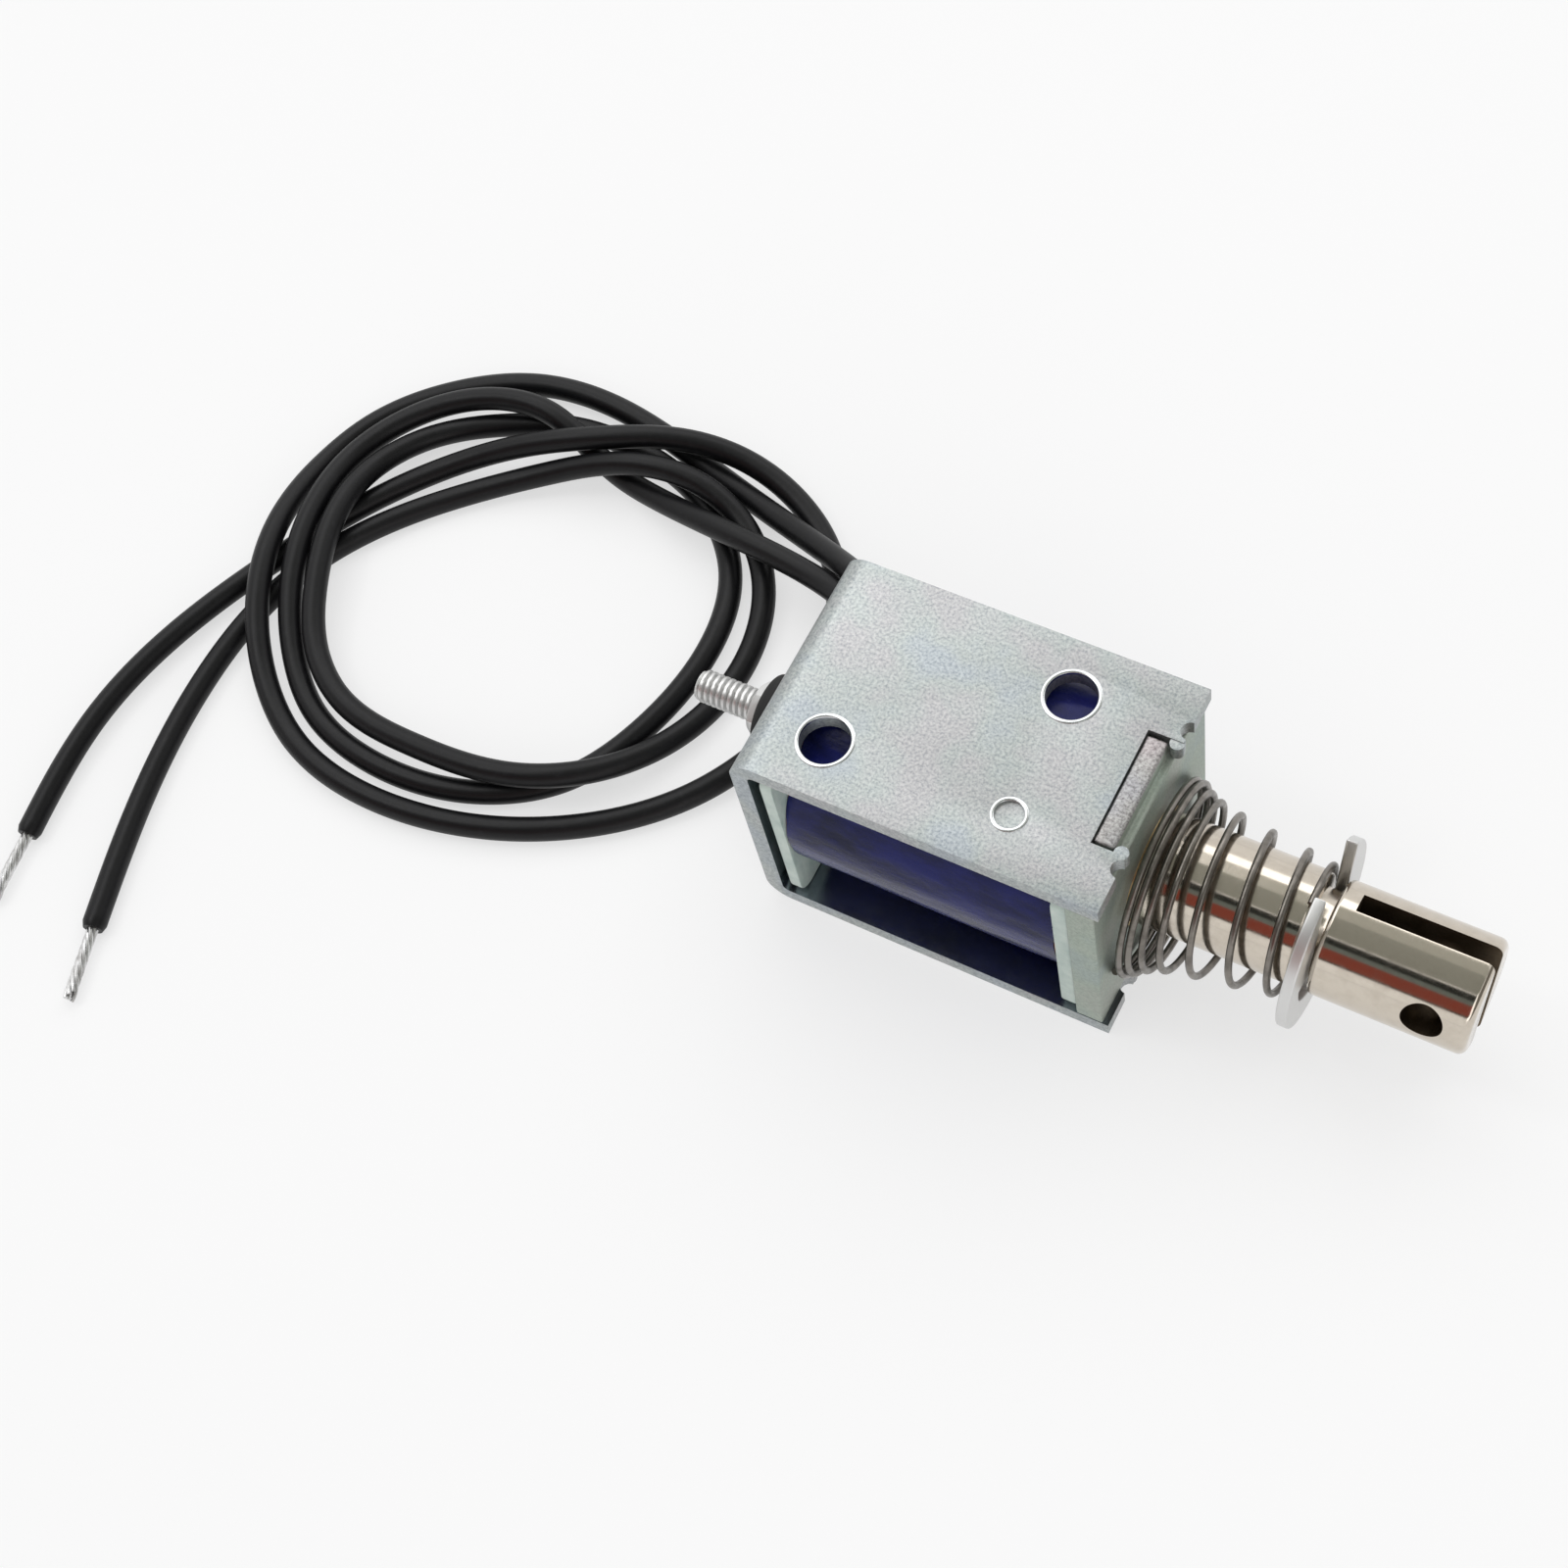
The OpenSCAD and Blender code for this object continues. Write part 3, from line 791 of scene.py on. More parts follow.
    @staticmethod
    def cut(piece: Piece, *tools: Piece) -> Piece:
        """Cuts tools out of a piece, and deletes them.

        Args:
            piece: The object.
            *tools: Closed objects that are cut out.

        Returns:
            The object.
        """
        for tool in tools:
            step = piece.modifiers.new("cut", "BOOLEAN")
            step.operation, step.solver, step.object = "DIFFERENCE", "EXACT", tool
            evaluated = piece.evaluated_get(bpy.context.evaluated_depsgraph_get())
            mesh = bpy.data.meshes.new_from_object(evaluated)
            piece.modifiers.clear()
            piece.data = mesh
            bpy.data.objects.remove(tool)
        return piece

    @staticmethod
    def block(name: str, low: Point, high: Point) -> Piece:
        """Makes a box between its lowest and highest corners."""
        xs, ys, zs = zip(low, high)
        points = [(x, y, z) for x in xs for y in ys for z in zs]
        faces = [(0, 1, 3, 2), (4, 6, 7, 5), (0, 4, 5, 1), (2, 3, 7, 6), (0, 2, 6, 4), (1, 5, 7, 3)]
        return Shape.new(name, points, faces)

    @staticmethod
    def round_normals(piece: Piece, axis_z: float, radius: float) -> None:
        """Points the normals of a turned face straight away from the axis, so that it reflects evenly.

        Args:
            piece: The object.
            axis_z: The axis's height.
            radius: The turned face's radius, in metres.
        """
        mesh, near, facing = piece.data, 2e-6, 0.97
        normals = [Vector(c.vector) for c in mesh.corner_normals]
        for face in mesh.polygons:
            for corner in face.loop_indices:
                point = mesh.vertices[mesh.loops[corner].vertex_index].co
                out = Vector((0.0, point.y, point.z - axis_z))
                if abs(out.length - radius) < near and face.normal.dot(out.normalized()) > facing:
                    normals[corner] = out.normalized()
        mesh.normals_split_custom_set([tuple(n) for n in normals])


def settle(
    piece: Piece, body: Body, finish: Finish, replaces: Sequence[str] = ()
) -> Piece:
    """Gives a piece its finish, and sets it on its body.

    Args:
        piece: The object.
        body: The body that it rides on.
        finish: Its finish.
        replaces: The CAD nodes that it stands for.

    Returns:
        The object.
    """
    piece.data.materials.clear()
    piece.data.materials.append(finish.material())
    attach(piece, body.value)
    if replaces:
        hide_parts(*replaces)
    log.info("%s: %d faces, on %s", piece.name, len(piece.data.polygons), body.value)
    return piece


def bevelled(
    node: str, name: str, body: Body, finish: Finish, width_mm: float, segments: int = 2,
    sharp_deg: float = 35.0, smooth_deg: float = 32.0,
) -> Piece:
    """Sets a copy of a CAD node with rounded edges in the node's place."""
    piece = Shape.bevel(Shape.from_cad(node, name), width_mm, segments, sharp_deg)
    return settle(Shape.smooth(piece, smooth_deg), body, finish, [node])

def second_finish(
    piece: Piece, finish: Finish, chosen: Callable[[Face], bool]
) -> None:
    """Gives some of a piece's faces another finish."""
    piece.data.materials.append(finish.material())
    for face in piece.data.polygons:
        if chosen(face):
            face.material_index = 1


def dress(node: str, finish: Finish) -> None:
    """Gives a CAD node that stays in view its finish.

    Args:
        node: The CAD node.
        finish: Its finish.
    """
    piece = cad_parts[node]
    if not piece.material_slots:
        piece.data.materials.append(None)
    for place in piece.material_slots:
        place.link = "OBJECT"
        place.material = finish.material()
    log.info("%s: kept from the CAD model", node)


def smooth_path(points: Sequence[Point], step: float) -> np.ndarray:
    """A smooth curve through points: a cubic spline over the distance between them.

    Args:
        points: The points.
        step: The spacing of the result.

    Returns:
        The curve's points.
    """
    given = np.array(points, float)
    gaps = np.linalg.norm(np.diff(given, axis=0), axis=1)
    at = np.concatenate([[0.0], np.cumsum(gaps)])
    count = len(given)
    matrix, right = np.eye(count), np.zeros_like(given)
    for i in range(1, count - 1):
        before, after = gaps[i - 1], gaps[i]
        matrix[i, i - 1 : i + 2] = before, 2 * (before + after), after
        right[i] = 6 * ((given[i + 1] - given[i]) / after - (given[i] - given[i - 1]) / before)
    bend = np.linalg.solve(matrix, right)
    places = np.linspace(0.0, at[-1], max(2, round(at[-1] / step)) + 1)
    result = []
    for place in places:
        i = min(max(int(np.searchsorted(at, place)) - 1, 0), count - 2)
        gap, a, b = gaps[i], at[i + 1] - place, place - at[i]
        result.append(
            bend[i] * a**3 / (6 * gap) + bend[i + 1] * b**3 / (6 * gap)
            + (given[i] / gap - bend[i] * gap / 6) * a + (given[i + 1] / gap - bend[i + 1] * gap / 6) * b
        )
    return np.array(result)


# ------------------------------------------------------------------ camera and leads


@dataclass(frozen=True)
class Viewpoint:
    """The camera's place and lens."""

    place: Point = (0.0602, -0.10211, 0.25648)
    turn_deg: Point = (27.3466, 8.2193, 27.9395)
    lens_mm: float = 60.79
    sensor_mm: float = 36.0
    clip: tuple[float, float] = (0.01, 20.0)

    def build(self) -> None:
        """Makes the scene's camera."""
        camera = bpy.data.objects.new("camera", bpy.data.cameras.new("camera"))
        camera.location = self.place
        camera.rotation_euler = [math.radians(a) for a in self.turn_deg]
        camera.data.lens, camera.data.sensor_width = self.lens_mm, self.sensor_mm
        camera.data.clip_start, camera.data.clip_end = self.clip
        bpy.context.scene.collection.objects.link(camera)
        bpy.context.scene.camera = camera


@dataclass
class Lead:
    """One insulated lead, from the coil to its tinned end, with its route in millimetres."""

    letter: str
    route: Sequence[Point]
    length: float
    radius: float = 1.4 * MM
    step: float = 0.7 * MM
    sides: int = 20
    ripple: float = 0.012
    end_round: float = 0.25 * MM
    strand_count: int = 7
    strand_reach: float = 9.0 * MM
    strand_tuck: float = 0.5 * MM
    strand_radius: float = 0.24 * MM
    strand_lay: float = 7.5 * MM
    strand_steps: int = 40
    strand_sides: int = 8
    bundle_radius: float = 0.44 * MM
    uneven: float = 0.05
    fray: float = 0.16 * MM
    fray_from: float = 0.8

    def build(self) -> None:
        path = smooth_path(np.array(self.route) * MM, self.step)
        path[:, 2] = np.maximum(path[:, 2], self.radius)
        name = f"lead_{self.letter}_insulation"
        wire = Shape.tube(name, path, self.section(len(path)), self.sides)
        settle(wire, Body.COIL, INSULATION, [f"lead_wire_{self.letter}"])
        strands = settle(
            self.strands(path), Body.COIL, TINNED, [f"lead_end_{self.letter}"]
        )

    def section(self, count: int) -> Callable[[float], float]:
        """The insulation's radius, which is trimmed at its cut end.

        Args:
            count: Points on the path.

        Returns:
            The radius, given the share of the path.
        """
        last = 1.0 - 0.5 / (count - 1)

        def radius(share: float) -> float:
            """The radius at one place."""
            ripple = self.ripple * math.sin(61 * share) * math.sin(23 * share + 1)
            trimmed = self.end_round if share > last else 0.0
            return self.radius * (1 - abs(ripple)) - trimmed

        return radius

    def strands(self, path: np.ndarray) -> Piece:
        """Seven twisted, tinned strands at the lead's end, a little frayed.

        Args:
            path: The insulation's path.

        Returns:
            The object.
        """
        start, up = Vector(path[-1]), Vector(UP)
        along = Vector(path[-1] - path[-4])
        along.z = 0.0
        along.normalize()
        side = along.cross(up)
        outer, sides = self.strand_count - 1, self.strand_sides
        points: list[Point] = []
        faces: list[tuple[int, ...]] = []
        for strand in range(self.strand_count):
            reach = self.strand_reach * (1 - self.uneven * (strand % 3))
            line = []
            for i in range(self.strand_steps + 1):
                far = reach * i / self.strand_steps
                lean = max(0.0, far / self.strand_reach - self.fray_from) / (1 - self.fray_from)
                off = 0.0 if strand == outer else self.bundle_radius + self.fray * lean * (strand % 2)
                turn = 2 * math.pi * (far / self.strand_lay + strand / outer)
                place = start + along * (far - self.strand_tuck)
                line.append(tuple(place + off * (math.cos(turn) * side + math.sin(turn) * up)))
            first = len(points)
            rows = Shape.rings(np.array(line), lambda share: self.strand_radius, sides)
            points += [p for row in rows for p in row]
            for i in range(first, len(points) - sides, sides):
                for k in range(sides):
                    a, b = i + k, i + (k + 1) % sides
                    faces.append((a, b, b + sides, a + sides))
            faces.append(tuple(range(first, first + sides))[::-1])
            faces.append(tuple(range(len(points) - sides, len(points))))
        return Shape.smooth(Shape.new(f"lead_{self.letter}_strands", points, faces))


LEAD_A: list[Point] = [
    (-17.5, 14.5, 17), (-24, 14.5, 17), (-29, 16, 15.5), (-34.5, 20, 11), (-41.5, 24, 6.5),
    (-51.5, 28, 3), (-62, 31.5, 1.5), (-75, 34.5, 2), (-87, 34, 2), (-96.5, 29.5, 1.5), (-104, 21, 1.5),
    (-106, 14.5, 2), (-105, 2, 4.5), (-102.5, -5, 4.5), (-96.5, -14, 2.5), (-89, -19.5, 1.5),
    (-78, -22, 1.5), (-65, -20.5, 1.5), (-52.5, -15, 1.5), (-43.5, -7, 1.5), (-38, 3.5, 2),
    (-37, 11, 2), (-39.5, 20.5, 1.5), (-44, 27, 1.5), (-51, 31.5, 2.5), (-59, 33, 4),
    (-66.5, 31.5, 5.5), (-74.5, 28, 6), (-81.5, 25, 5), (-90.5, 20, 2.5), (-98, 12, 1.5),
    (-104.5, 0.5, 1.5), (-109.5, -12, 2), (-112.5, -26.5, 2), (-111.5, -42.5, 1.5),
]

LEAD_B: list[Point] = [
    (-17.5, 14.5, 12.5), (-24, 14.5, 12.5), (-31, 16, 10.5), (-38.5, 19.5, 7.5), (-53, 22.5, 5.5),
    (-65.5, 25, 2.5), (-73.5, 27, 2), (-82, 29.5, 4.5), (-89.5, 29, 4.5), (-97.5, 24.5, 3.5),
    (-102, 17, 3.5), (-102.5, 8.5, 4.5), (-100.5, 0, 4.5), (-95, -10, 2.5), (-89.5, -15, 1.5),
    (-80.5, -18, 1.5), (-66, -16.5, 1.5), (-57.5, -11, 1.5), (-52.5, -2.5, 2), (-50.5, 11, 2),
    (-53, 19.5, 1.5), (-60.5, 27, 1.5), (-71, 30.5, 1.5), (-80, 30.5, 1.5), (-87.5, 28, 1.5),
    (-95.5, 22, 2.5), (-99, 15.5, 3.5), (-99.5, 9.5, 4.5), (-96.5, -1.5, 4.5), (-92, -9, 3.5),
    (-86.5, -13, 3), (-75, -15, 3.5), (-60.5, -13.5, 4.5), (-54.5, -10, 4), (-49, -3, 2.5),
    (-46, 9, 1.5), (-48, 18.5, 2), (-53.5, 25, 3), (-61, 27.5, 5), (-69.5, 26.5, 5.5), (-79, 23, 3),
    (-88.5, 16.5, 1.5), (-97, 7, 1.5), (-102, -3.5, 1.5), (-103.5, -15.5, 1.5), (-101.5, -33.5, 1.5),
    (-97.5, -49, 1.5),
]


# ------------------------------------------------------------------ coil and frame


@dataclass
class FrameAndPole:
    """The bent sheet-steel frame and the pole plate that is staked into it."""

    sheet: float = 2.0 * MM
    edge_mm: float = 0.24
    tab_edge_mm: float = 0.3
    rim_mm: float = 0.42
    rim_reach: float = 2.75 * MM
    hole_r: float = 2.65 * MM
    mark_r: float = 1.5 * MM
    rim_reach: float = 2.75 * MM
    hole_r: float = 2.65 * MM
    mark_r: float = 1.5 * MM
    lip_w: float = 0.46 * MM
    lip_h: float = 0.09 * MM
    lip_in: float = 0.03 * MM
    lip_deep: float = 0.3 * MM
    lip_steps: int = 9
    lip_around: int = 96
    holes: Sequence[tuple[float, float]] = ((8.0, -7.0), (28.0, 7.0))
    mark: tuple[float, float] = (28.0, -7.0)

    def build(self) -> None:
        """Builds both pieces, and the lips round the holes and the pressed mark."""
        low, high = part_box("frame_bracket")
        middle, near = (low + high) / 2, 1e-5
        bracket = Shape.from_cad("frame_bracket", "zinc_frame")
        rear, front, mark = ((low.x + x * MM, y * MM) for x, y in (*self.holes, self.mark))

        def on_rim(point: Vector) -> bool:
            """True on the outside rim of a mounting hole."""
            outside = min(abs(point.z - low.z), abs(point.z - high.z)) < near
            from_hole = min(math.hypot(point.x - x, point.y - y) for x, y in (rear, front))
            return outside and from_hole < self.rim_reach

        Shape.bevel(bracket, self.rim_mm, 4, 35.0, on_rim)
        Shape.bevel(bracket, self.edge_mm, 3, 50.0)
        settle(Shape.smooth(bracket, 30.0), Body.COIL, ZINC, ["frame_bracket"])

        def faces_coil(face: Face) -> bool:
            """True on the bracket's inside."""
            at, deep = face.center, self.sheet * 0.9
            inside = at.x > low.x + deep and low.z + deep < at.z < high.z - deep
            return inside and abs(face.normal.y) < 0.5 and face.normal.dot(middle - at) > 0

        # The bracket's inside faces take the darker zinc: painted shade.
        second_finish(bracket, SHADED_INNER_ZINC, faces_coil)
        plate = bevelled(
            "pole_plate", "pole_plate_body", Body.COIL, POLE_ZINC, self.tab_edge_mm, 3
        )
        top, base = high.z - self.sheet / 2, low.z + self.sheet / 2
        second_finish(plate, TAB_ZINC, lambda face: not base < face.center.z < top)
        for name, centre, r in (
            ("hole_rim_rear", rear, self.hole_r), ("hole_rim_front", front, self.hole_r),
            ("mark_rim", mark, self.mark_r),
        ):
            settle(self.rim(name, (*centre, high.z), r), Body.COIL, RIM_ZINC)

    def rim(self, name: str, centre: Point, r: float) -> Piece:
        """The rolled lip of a hole in the upper plate.

        Args:
            name: The piece's name.
            centre: The hole's centre, on the plate's outside.
            r: The hole's radius.

        Returns:
            The object.
        """
        x, y, z = centre
        turns = [math.pi * i / self.lip_steps for i in range(self.lip_steps + 1)]
        profile = [(self.lip_w / 2 * (1 - math.cos(t)), self.lip_h * math.sin(t)) for t in turns]
        profile += [(self.lip_w, -self.lip_deep), (0.0, -self.lip_deep)]
        lip = [(r - self.lip_in + out, z + up) for out, up in profile]
        rows = [
            [(x + reach * math.cos(a), y + reach * math.sin(a), height) for reach, height in lip]
            for a in full_turn(self.lip_around)
        ]
        return Shape.smooth(Shape.grid(rows, name, caps=False), 40.0)


@dataclass
class Coil:
    """The bobbin with its winding and tape, the lead joints, and the core and sleeve inside."""

    around: int = 220
    along: int = 72
    tape_t: float = 0.22 * MM
    tape_gap: float = 0.05 * MM
    hem: float = 0.25 * MM
    crease: float = 0.05 * MM
    ridge: float = 0.025 * MM
    edge_back: float = 0.10 * MM
    lap_deg: float = 262.0
    lap: float = 0.1 * MM
    back_power: float = 5.0

    def build(self) -> None:
        """Builds the coil's pieces."""
        bevelled("bobbin", "bobbin_body", Body.COIL, BOBBIN, 0.22)
        dress("coil_winding", COPPER)
        settle(self.tape(), Body.COIL, TAPE, ["tape_wrap"])
        bevelled("lead_pad", "lead_pad_tape", Body.COIL, TAPE, 0.3, 3, smooth_deg=45.0)
        dress("lead_joint_a", TINNED)
        dress("lead_joint_b", TINNED)
        bevelled("fibre_washer", "fibre_washer_body", Body.COIL, FIBRE, 0.1)
        bevelled("guide_sleeve", "guide_sleeve_body", Body.COIL, BRASS, 0.1)
        bevelled("fixed_core", "fixed_core_body", Body.COIL, CORE_IRON, 0.2)

    def tape(self) -> Piece:
        """The tape: a thin shell with soft creases, wavy edges and one lap along its end.

        Returns:
            The object.
        """
        low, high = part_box("tape_wrap")
        axis_z, outer = (low.z + high.z) / 2, (high.z - low.z) / 2
        rear, front = low.x, high.x
        turn = full_turn(self.around)

        def lift(x: float, a: float) -> float:
            """The crease height at a place, in metres and never above 0."""
            share = (x - rear) / (front - rear)
            soft = math.sin(3 * a + 5 * share) * math.sin(7 * a - 3 * share + 1)
            ridge = math.sin(26 * a + 2.5 * math.sin(4 * share + a)) * math.sin(3.1 * share * math.pi)
            return -(self.crease * (1 + soft) + self.ridge * ridge)

        def square(a: float) -> float:
            """How far the tape stands out over the lead joints' corners, as a factor."""
            if math.cos(a) <= 0:
                return 1.0
            n = self.back_power
            return (abs(math.cos(a)) ** n + abs(math.sin(a)) ** n) ** (-1 / n)

        def edge(a: float, side: float) -> float:
            """How far an edge stands back, in metres."""
            return side * self.edge_back * (1 + math.sin(5 * a + side) * math.sin(11 * a))

        rows = []
        for i in range(self.along + 1):
            share = i / self.along
            row = []
            for a in turn:
                x = (rear + edge(a, 1.0)) * (1 - share) + (front + edge(a, -1.0)) * share
                lap = self.lap if math.degrees(a) > self.lap_deg else 0.0
                row.append(about(axis_z, x, (outer + lift(x, a) - lap) * square(a), a))
            rows.append(row)
        inner = outer - self.tape_t - self.tape_gap
        for x in (front - self.hem, rear + self.hem):
            rows.append([about(axis_z, x, inner * square(a), a) for a in turn])
        return Shape.smooth(Shape.grid(rows, "coil_tape_wrap", caps=False), 40.0)


@dataclass
class ReturnSpring:
    """The conical return spring, closed against the pole plate and open towards the clip."""

    wire: float = 0.76 * MM
    large: float = 10.4 * MM
    small: float = 6.75 * MM
    turns: float = 7.7
    closed_turns: float = 2.0
    closed_pitch: float = 1.06
    full_turns: float = 1.5
    taper_power: float = 0.85
    sag: float = 1.2 * MM
    side_sag: float = 0.48 * MM
    side_lean: float = 0.3 * MM
    start_deg: float = 200.0
    steps: int = 60
    sides: int = 14
    opening: Sequence[float] = (0.5, -1.0, 4.3, -2.8)
    shut_length: float = 7.3 * MM

    def build(self) -> None:
        """Builds the spring."""
        low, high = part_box("return_spring")
        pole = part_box("pole_plate")
        axis_z = (pole[0].z + pole[1].z) / 2
        start, end = low.x + self.wire / 2, high.x - self.wire / 2
        pitch = self.closed_pitch * self.wire
        open_length = end - start - self.closed_turns * pitch

        def point(n: float) -> Point:
            """The wire's middle after n turns."""
            share = max(0.0, (n - self.full_turns) / (self.turns - self.full_turns))
            u = (n - self.closed_turns) / (self.turns - self.closed_turns)
            opened = sum(part * u ** (i + 1) for i, part in enumerate(self.opening))
            x = start + (n * pitch if u < 0 else self.closed_turns * pitch + open_length * opened)
            r = self.large - (self.large - self.small) * share**self.taper_power
            sag = self.sag * (1 - share)
            a = math.radians(self.start_deg + 360 * n)
            aside = self.side_sag * (1 - share) + self.side_lean * share
            return x, r * math.cos(a) - aside, axis_z + r * math.sin(a) - sag

        count = round(self.turns * self.steps)
        path = np.array([point(self.turns * i / count) for i in range(count + 1)])
        spring = Shape.tube("conical_spring", path, lambda share: self.wire / 2, self.sides)
        settle(spring, Body.COIL, SPRING_STEEL, ["return_spring"])
        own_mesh(spring)


# ------------------------------------------------------------------ plunger


@dataclass
class PlungerAndRod:
    """The plunger with its clip, and the push rod with its stop."""

    radius: float = 6.0 * MM
    front_round: float = 0.9 * MM
    edge: float = 0.5 * MM
    groove_back: float = 16.9 * MM
    groove_w: float = 1.7 * MM
    groove_r: float = 4.5 * MM
    slot_w: float = 2.4 * MM
    slot_depth: float = 14.0 * MM
    pin_r: float = 2.1 * MM
    pin_back: float = 4.6 * MM
    roll_deg: float = -20.0
    wall_in: float = 0.2 * MM
    centre_r: float = 0.0002 * MM
    around: int = 192
    hole_around: int = 96
    washer_around: int = 96
    burr_mm: float = 0.14
    rod_r: float = 2.0 * MM
    thread_r: float = 1.8 * MM
    thread_pitch: float = 0.7 * MM
    thread_depth: float = 0.42 * MM
    thread_steep: float = 3.8
    thread_lead_in: float = 0.5 * MM
    thread_in_nut: float = 0.6 * MM
    thread_around: int = 48
    thread_steps: int = 12
    shoulder: float = 0.05 * MM
    bore_gap: float = 0.1 * MM

    def build(self) -> None:
        """Builds the moving pieces."""
        low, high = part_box("plunger")
        self.axis_z = (low.z + high.z) / 2
        body = Body.PLUNGER
        plunger = settle(self.plunger(low.x, high.x), body, NICKEL, ["plunger"])

        def in_slot(face: Face) -> bool:
            """True on the walls of the slot and the cross hole."""
            from_axis = math.hypot(face.center.y, face.center.z - self.axis_z)
            along = high.x - self.slot_depth - self.edge < face.center.x < high.x - self.wall_in
            return along and from_axis < self.radius - self.wall_in

        # The slot and cross-hole walls take the dark brown finish: painted shade.
        second_finish(plunger, SLOT_SHADE_METAL, in_slot)
        bevelled("residual_disc", "residual_disc_body", body, NYLON, 0.05, 1)
        settle(self.rod(), body, ROD_STEEL, ["push_rod"])
        bevelled("lock_nut", "stop_nut", body, NUT_STEEL, 0.12, 2, 25.0, 24.0)
        self.washer("flat_washer", "stop_flat_washer", 0.15 * MM, WASHER_STEEL)
        self.washer("rubber_washer", "stop_rubber_washer", 0.6 * MM, RUBBER)
        bevelled("e_clip", "retaining_clip", body, CLIP_STEEL, 0.2, 3, smooth_deg=40.0)

    def fillet(
        self, x: float, r: float, size: float, toward: float, steps: int = 6
    ) -> list[tuple[float, float]]:
        """The rounded corner of a turned end."""
        quarter = [math.pi / 2 * i / steps for i in range(steps + 1)]
        return [
            (x + toward * size * (1 - math.cos(a)), r - size + size * math.sin(a)) for a in quarter
        ]

    def plunger(self, rear: float, front: float) -> Piece:
        """The plunger, turned, then slotted and drilled.

        Args:
            rear: Its inner end.
            front: Its front end.

        Returns:
            The object.
        """
        groove = front - self.groove_back
        near, far = groove - self.groove_w / 2, groove + self.groove_w / 2
        profile = [
            (rear, self.centre_r),
            *self.fillet(rear, self.radius, self.edge, 1.0, 2),
            *self.fillet(near, self.radius, self.edge, -1.0, 3)[::-1],
            (near, self.groove_r), (far, self.groove_r),
            *self.fillet(far, self.radius, self.edge, 1.0, 3),
            *self.fillet(front, self.radius, self.front_round, -1.0)[::-1],
            (front, self.centre_r),
        ]
        piece = Shape.turned("plunger_body", profile, self.axis_z, self.around)
        turn = Matrix.Translation((0.0, 0.0, self.axis_z)) @ Matrix.Rotation(
            math.radians(self.roll_deg), 4, "X"
        )
        past = 2 * self.radius
        slot = Shape.block(
            "slot_tool", (front - self.slot_depth, -self.slot_w / 2, -past),
            (front + self.radius, self.slot_w / 2, past),
        )
        pin_x, circle = front - self.pin_back, full_turn(self.hole_around)
        hole = Shape.grid([
            [(pin_x + self.pin_r * math.cos(a), y, self.pin_r * math.sin(a)) for a in circle]
            for y in (-past, past)
        ], "hole_tool")
        for tool in (slot, hole):
            tool.data.transform(turn)
        Shape.cut(piece, slot, hole)
        Shape.bevel(piece, self.burr_mm, 2, 50.0)
        Shape.smooth(piece, 30.0)
        Shape.round_normals(piece, self.axis_z, self.radius)
        return piece

    def rod(self) -> Piece:
        """The push rod, with a helical thread on its rear tail.

        Returns:
            The object.
        """
        low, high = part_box("push_rod")
        turn = full_turn(self.thread_around)
        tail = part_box("lock_nut")[0].x + self.thread_in_nut - low.x
        rows = []
        for i in range(round(tail / self.thread_pitch * self.thread_steps) + 1):
            x = low.x + self.thread_pitch * i / self.thread_steps
            taper = min(1.0, (x - low.x) / self.thread_lead_in)
            row = []
            for k, a in enumerate(turn):
                place = (x / self.thread_pitch - k / self.thread_around) % 1.0
                ridge = min(1.0, max(0.0, self.thread_steep * (0.5 - abs(place - 0.5))))
                r = self.thread_r - self.thread_depth * (1 - ridge * (0.3 + 0.7 * taper))
                row.append(about(self.axis_z, x, r, a))
            rows.append(row)
        for x in (x + self.shoulder, high.x):
            rows.append([about(self.axis_z, x, self.rod_r, a) for a in turn])
        return Shape.smooth(Shape.grid(rows, "threaded_push_rod"), 38.0)

    def washer(self, node: str, name: str, corner: float, finish: Finish) -> None:
        """A washer with rounded corners, in a CAD washer's place.

        Args:
            node: The CAD washer.
            name: The piece's name.
            corner: The radius of its corners.
            finish: Its finish.
        """
        low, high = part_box(node)
        outer, bore = (high.z - low.z) / 2, self.rod_r + self.bore_gap
        profile = [
            (low.x, bore), *self.fillet(low.x, outer, corner, 1.0),
            *self.fillet(high.x, outer, corner, -1.0)[::-1], (high.x, bore),
        ]
        piece = Shape.turned(name, profile, self.axis_z, self.washer_around, ring=True)
        settle(piece, Body.PLUNGER, finish, [node])


# ------------------------------------------------------------------ floor, lamps and cards


@dataclass(frozen=True)
class Softbox:
    """A square lamp that points at the part."""

    name: str
    place: Point
    size: float
    watts: float
    def build(self, target: Vector) -> None:
        """Makes the lamp.

        Args:
            target: The point it faces.
        """
        data = bpy.data.lights.new(self.name, "AREA")
        data.shape, data.size, data.energy = "SQUARE", self.size, self.watts
        lamp = bpy.data.objects.new(self.name, data)
        lamp.location = self.place
        lamp.rotation_euler = (target - Vector(self.place)).to_track_quat("-Z", "Y").to_euler()
        bpy.context.scene.collection.objects.link(lamp)

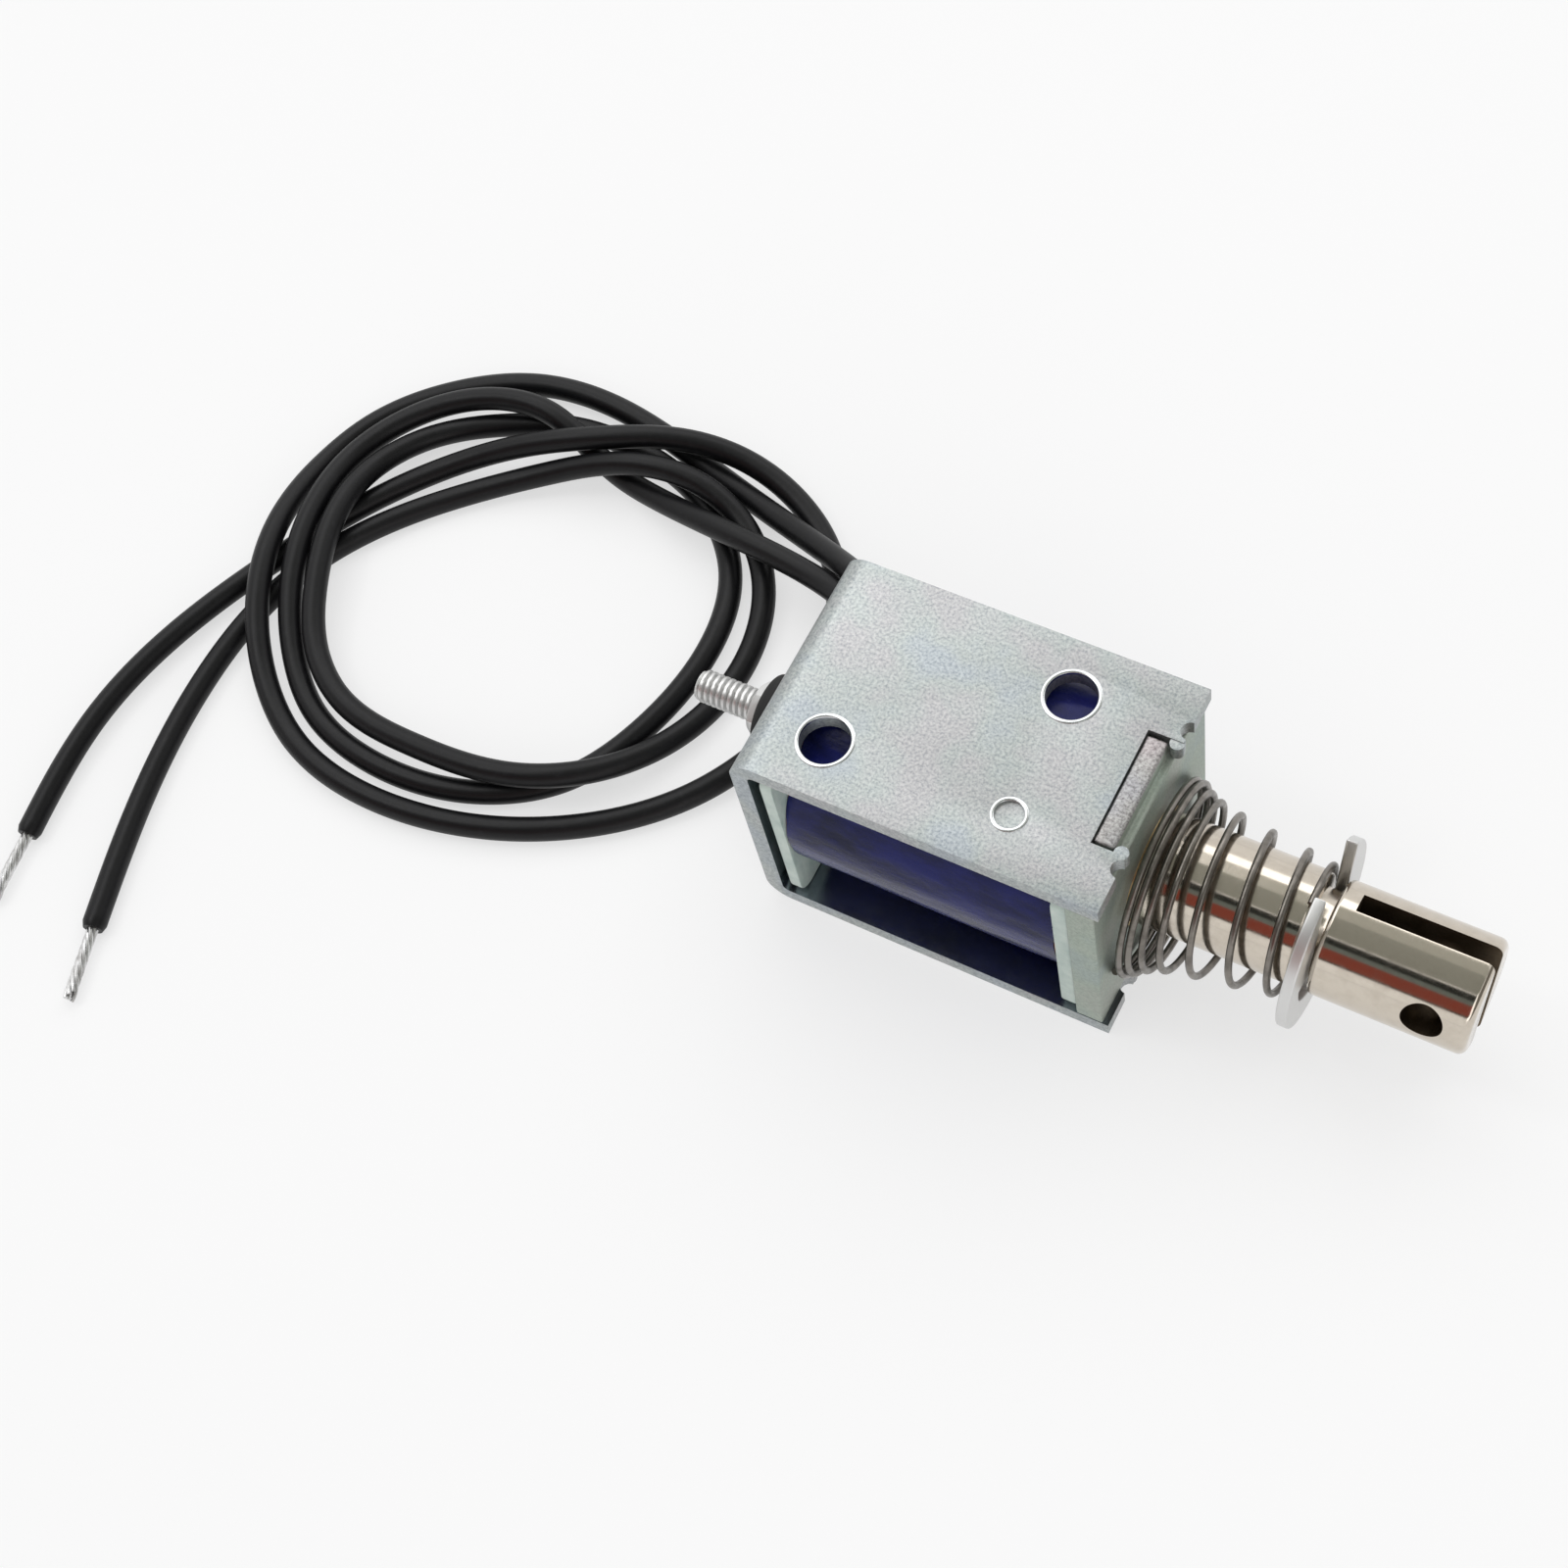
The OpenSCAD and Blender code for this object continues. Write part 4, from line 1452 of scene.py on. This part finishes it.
@dataclass(frozen=True)
class Card:
    """A toned card that only shows in reflections, like the walls of a dark studio.

    Its angle is measured about the plunger's axis, from straight up towards -Y.
    """

    name: str
    tone: Colour
    from_deg: float
    to_deg: float
    from_x: float = -0.7
    to_x: float = 0.7
    distance: float = 0.6
    steps: int = 8

    def build(self, centre: Vector) -> None:
        """Makes the card.

        Args:
            centre: The point that it curves around.
        """
        steps = self.steps
        points: list[Point] = []
        for i in range(steps + 1):
            a = math.radians(self.from_deg + (self.to_deg - self.from_deg) * i / steps)
            y = centre.y - self.distance * math.sin(a)
            z = centre.z + self.distance * math.cos(a)
            points += [(self.from_x, y, z), (self.to_x, y, z)]
        self.place(points, [(2 * i, 2 * i + 1, 2 * i + 3, 2 * i + 2) for i in range(steps)])

    def place(self, points: Sequence[Point], faces: Sequence[Sequence[int]]) -> None:
        """Sets the card up, seen by reflections alone.

        Args:
            points: Its corners.
            faces: Its faces.
        """
        card = Shape.new(self.name, points, faces)
        card.data.materials.append(CardPaint(f"{self.name}_tone", self.tone).material())
        card.visible_camera = card.visible_diffuse = card.visible_shadow = False
        card.visible_transmission = card.visible_volume_scatter = False


@dataclass(frozen=True)
class EndCard(Card):
    """An upright card across +X, that the plunger's front end reflects.

    Its angles are its elevation, as seen from the part.
    """

    half_width: float = 0.5

    def build(self, centre: Vector) -> None:
        """Makes the card.

        Args:
            centre: The point that it faces.
        """
        x = centre.x + self.distance
        low, high = (self.distance * math.tan(math.radians(a)) for a in (self.from_deg, self.to_deg))
        w = self.half_width
        self.place([(x, -w, low), (x, w, low), (x, w, high), (x, -w, high)], [(0, 1, 2, 3)])


@dataclass
class Studio:
    """The floor, the lamps, the cards and the surrounding light."""

    floor_reach: float = 6.0
    ambient: float = 0.5
    target: Point = (0.0, 0.0, 0.015)
    lamps: Sequence[Softbox] = (
        Softbox("overhead_softbox", (-0.10, 0.26, 0.66), 0.90, 3.3),
        Softbox("side_softbox", (0.45, -0.45, 0.35), 0.50, 1.1),
        Softbox("small_softbox", (-0.36, -0.12, 0.56), 0.10, 0.26),
    )
    cards: Sequence[Card] = (
        Card("top_card", (0.46, 0.47, 0.43), -38.0, -14.0, from_x=-0.10),
        Card("grey_card", (0.30, 0.31, 0.28), -14.0, 24.0, from_x=-0.16),
        Card("dark_card", (0.02, 0.022, 0.02), 26.0, 38.0),
        Card("teal_card", (0.17, 0.20, 0.19), 38.0, 47.0),
        Card("russet_card", (0.26, 0.065, 0.045), 47.0, 68.0),
        Card("brown_card", (0.07, 0.05, 0.035), 68.0, 72.0),
        EndCard("end_card", (0.20, 0.19, 0.17), 0.0, 35.0),
    )

    def build(self) -> None:
        """Builds everything that isn't the part."""
        s = self.floor_reach
        floor = Shape.new("floor", [(-s, -s, 0), (s, -s, 0), (s, s, 0), (-s, s, 0)], [(0, 1, 2, 3)])
        floor.data.materials.append(PlainFloor("plain_floor").material())
        target = Vector(self.target)
        for thing in (*self.lamps, *self.cards):
            thing.build(target)
        self.surroundings()
        bpy.context.scene.view_settings.view_transform = "Standard"

    def surroundings(self) -> None:
        """White to the camera and in reflections, and softer light elsewhere."""
        world = bpy.data.worlds.new("surroundings")
        bpy.context.scene.world = world
        graph = Graph(world)
        strength = self.ambient + (1.0 - self.ambient) * graph.seen()
        light = graph.make("ShaderNodeBackground", inputs={"Color": WHITE, "Strength": strength})
        graph.make("ShaderNodeOutputWorld", inputs={"Surface": light})


def main() -> None:
    """Builds the scene, camera and leads first."""
    logging.basicConfig(level=logging.INFO, format="%(name)s: %(message)s")
    Viewpoint().build()
    Lead("a", LEAD_A, 0.354).build()
    Lead("b", LEAD_B, 0.468).build()
    FrameAndPole().build()
    Coil().build()
    ReturnSpring().build()
    PlungerAndRod().build()
    Studio().build()


if __name__ == "__main__":
    main()
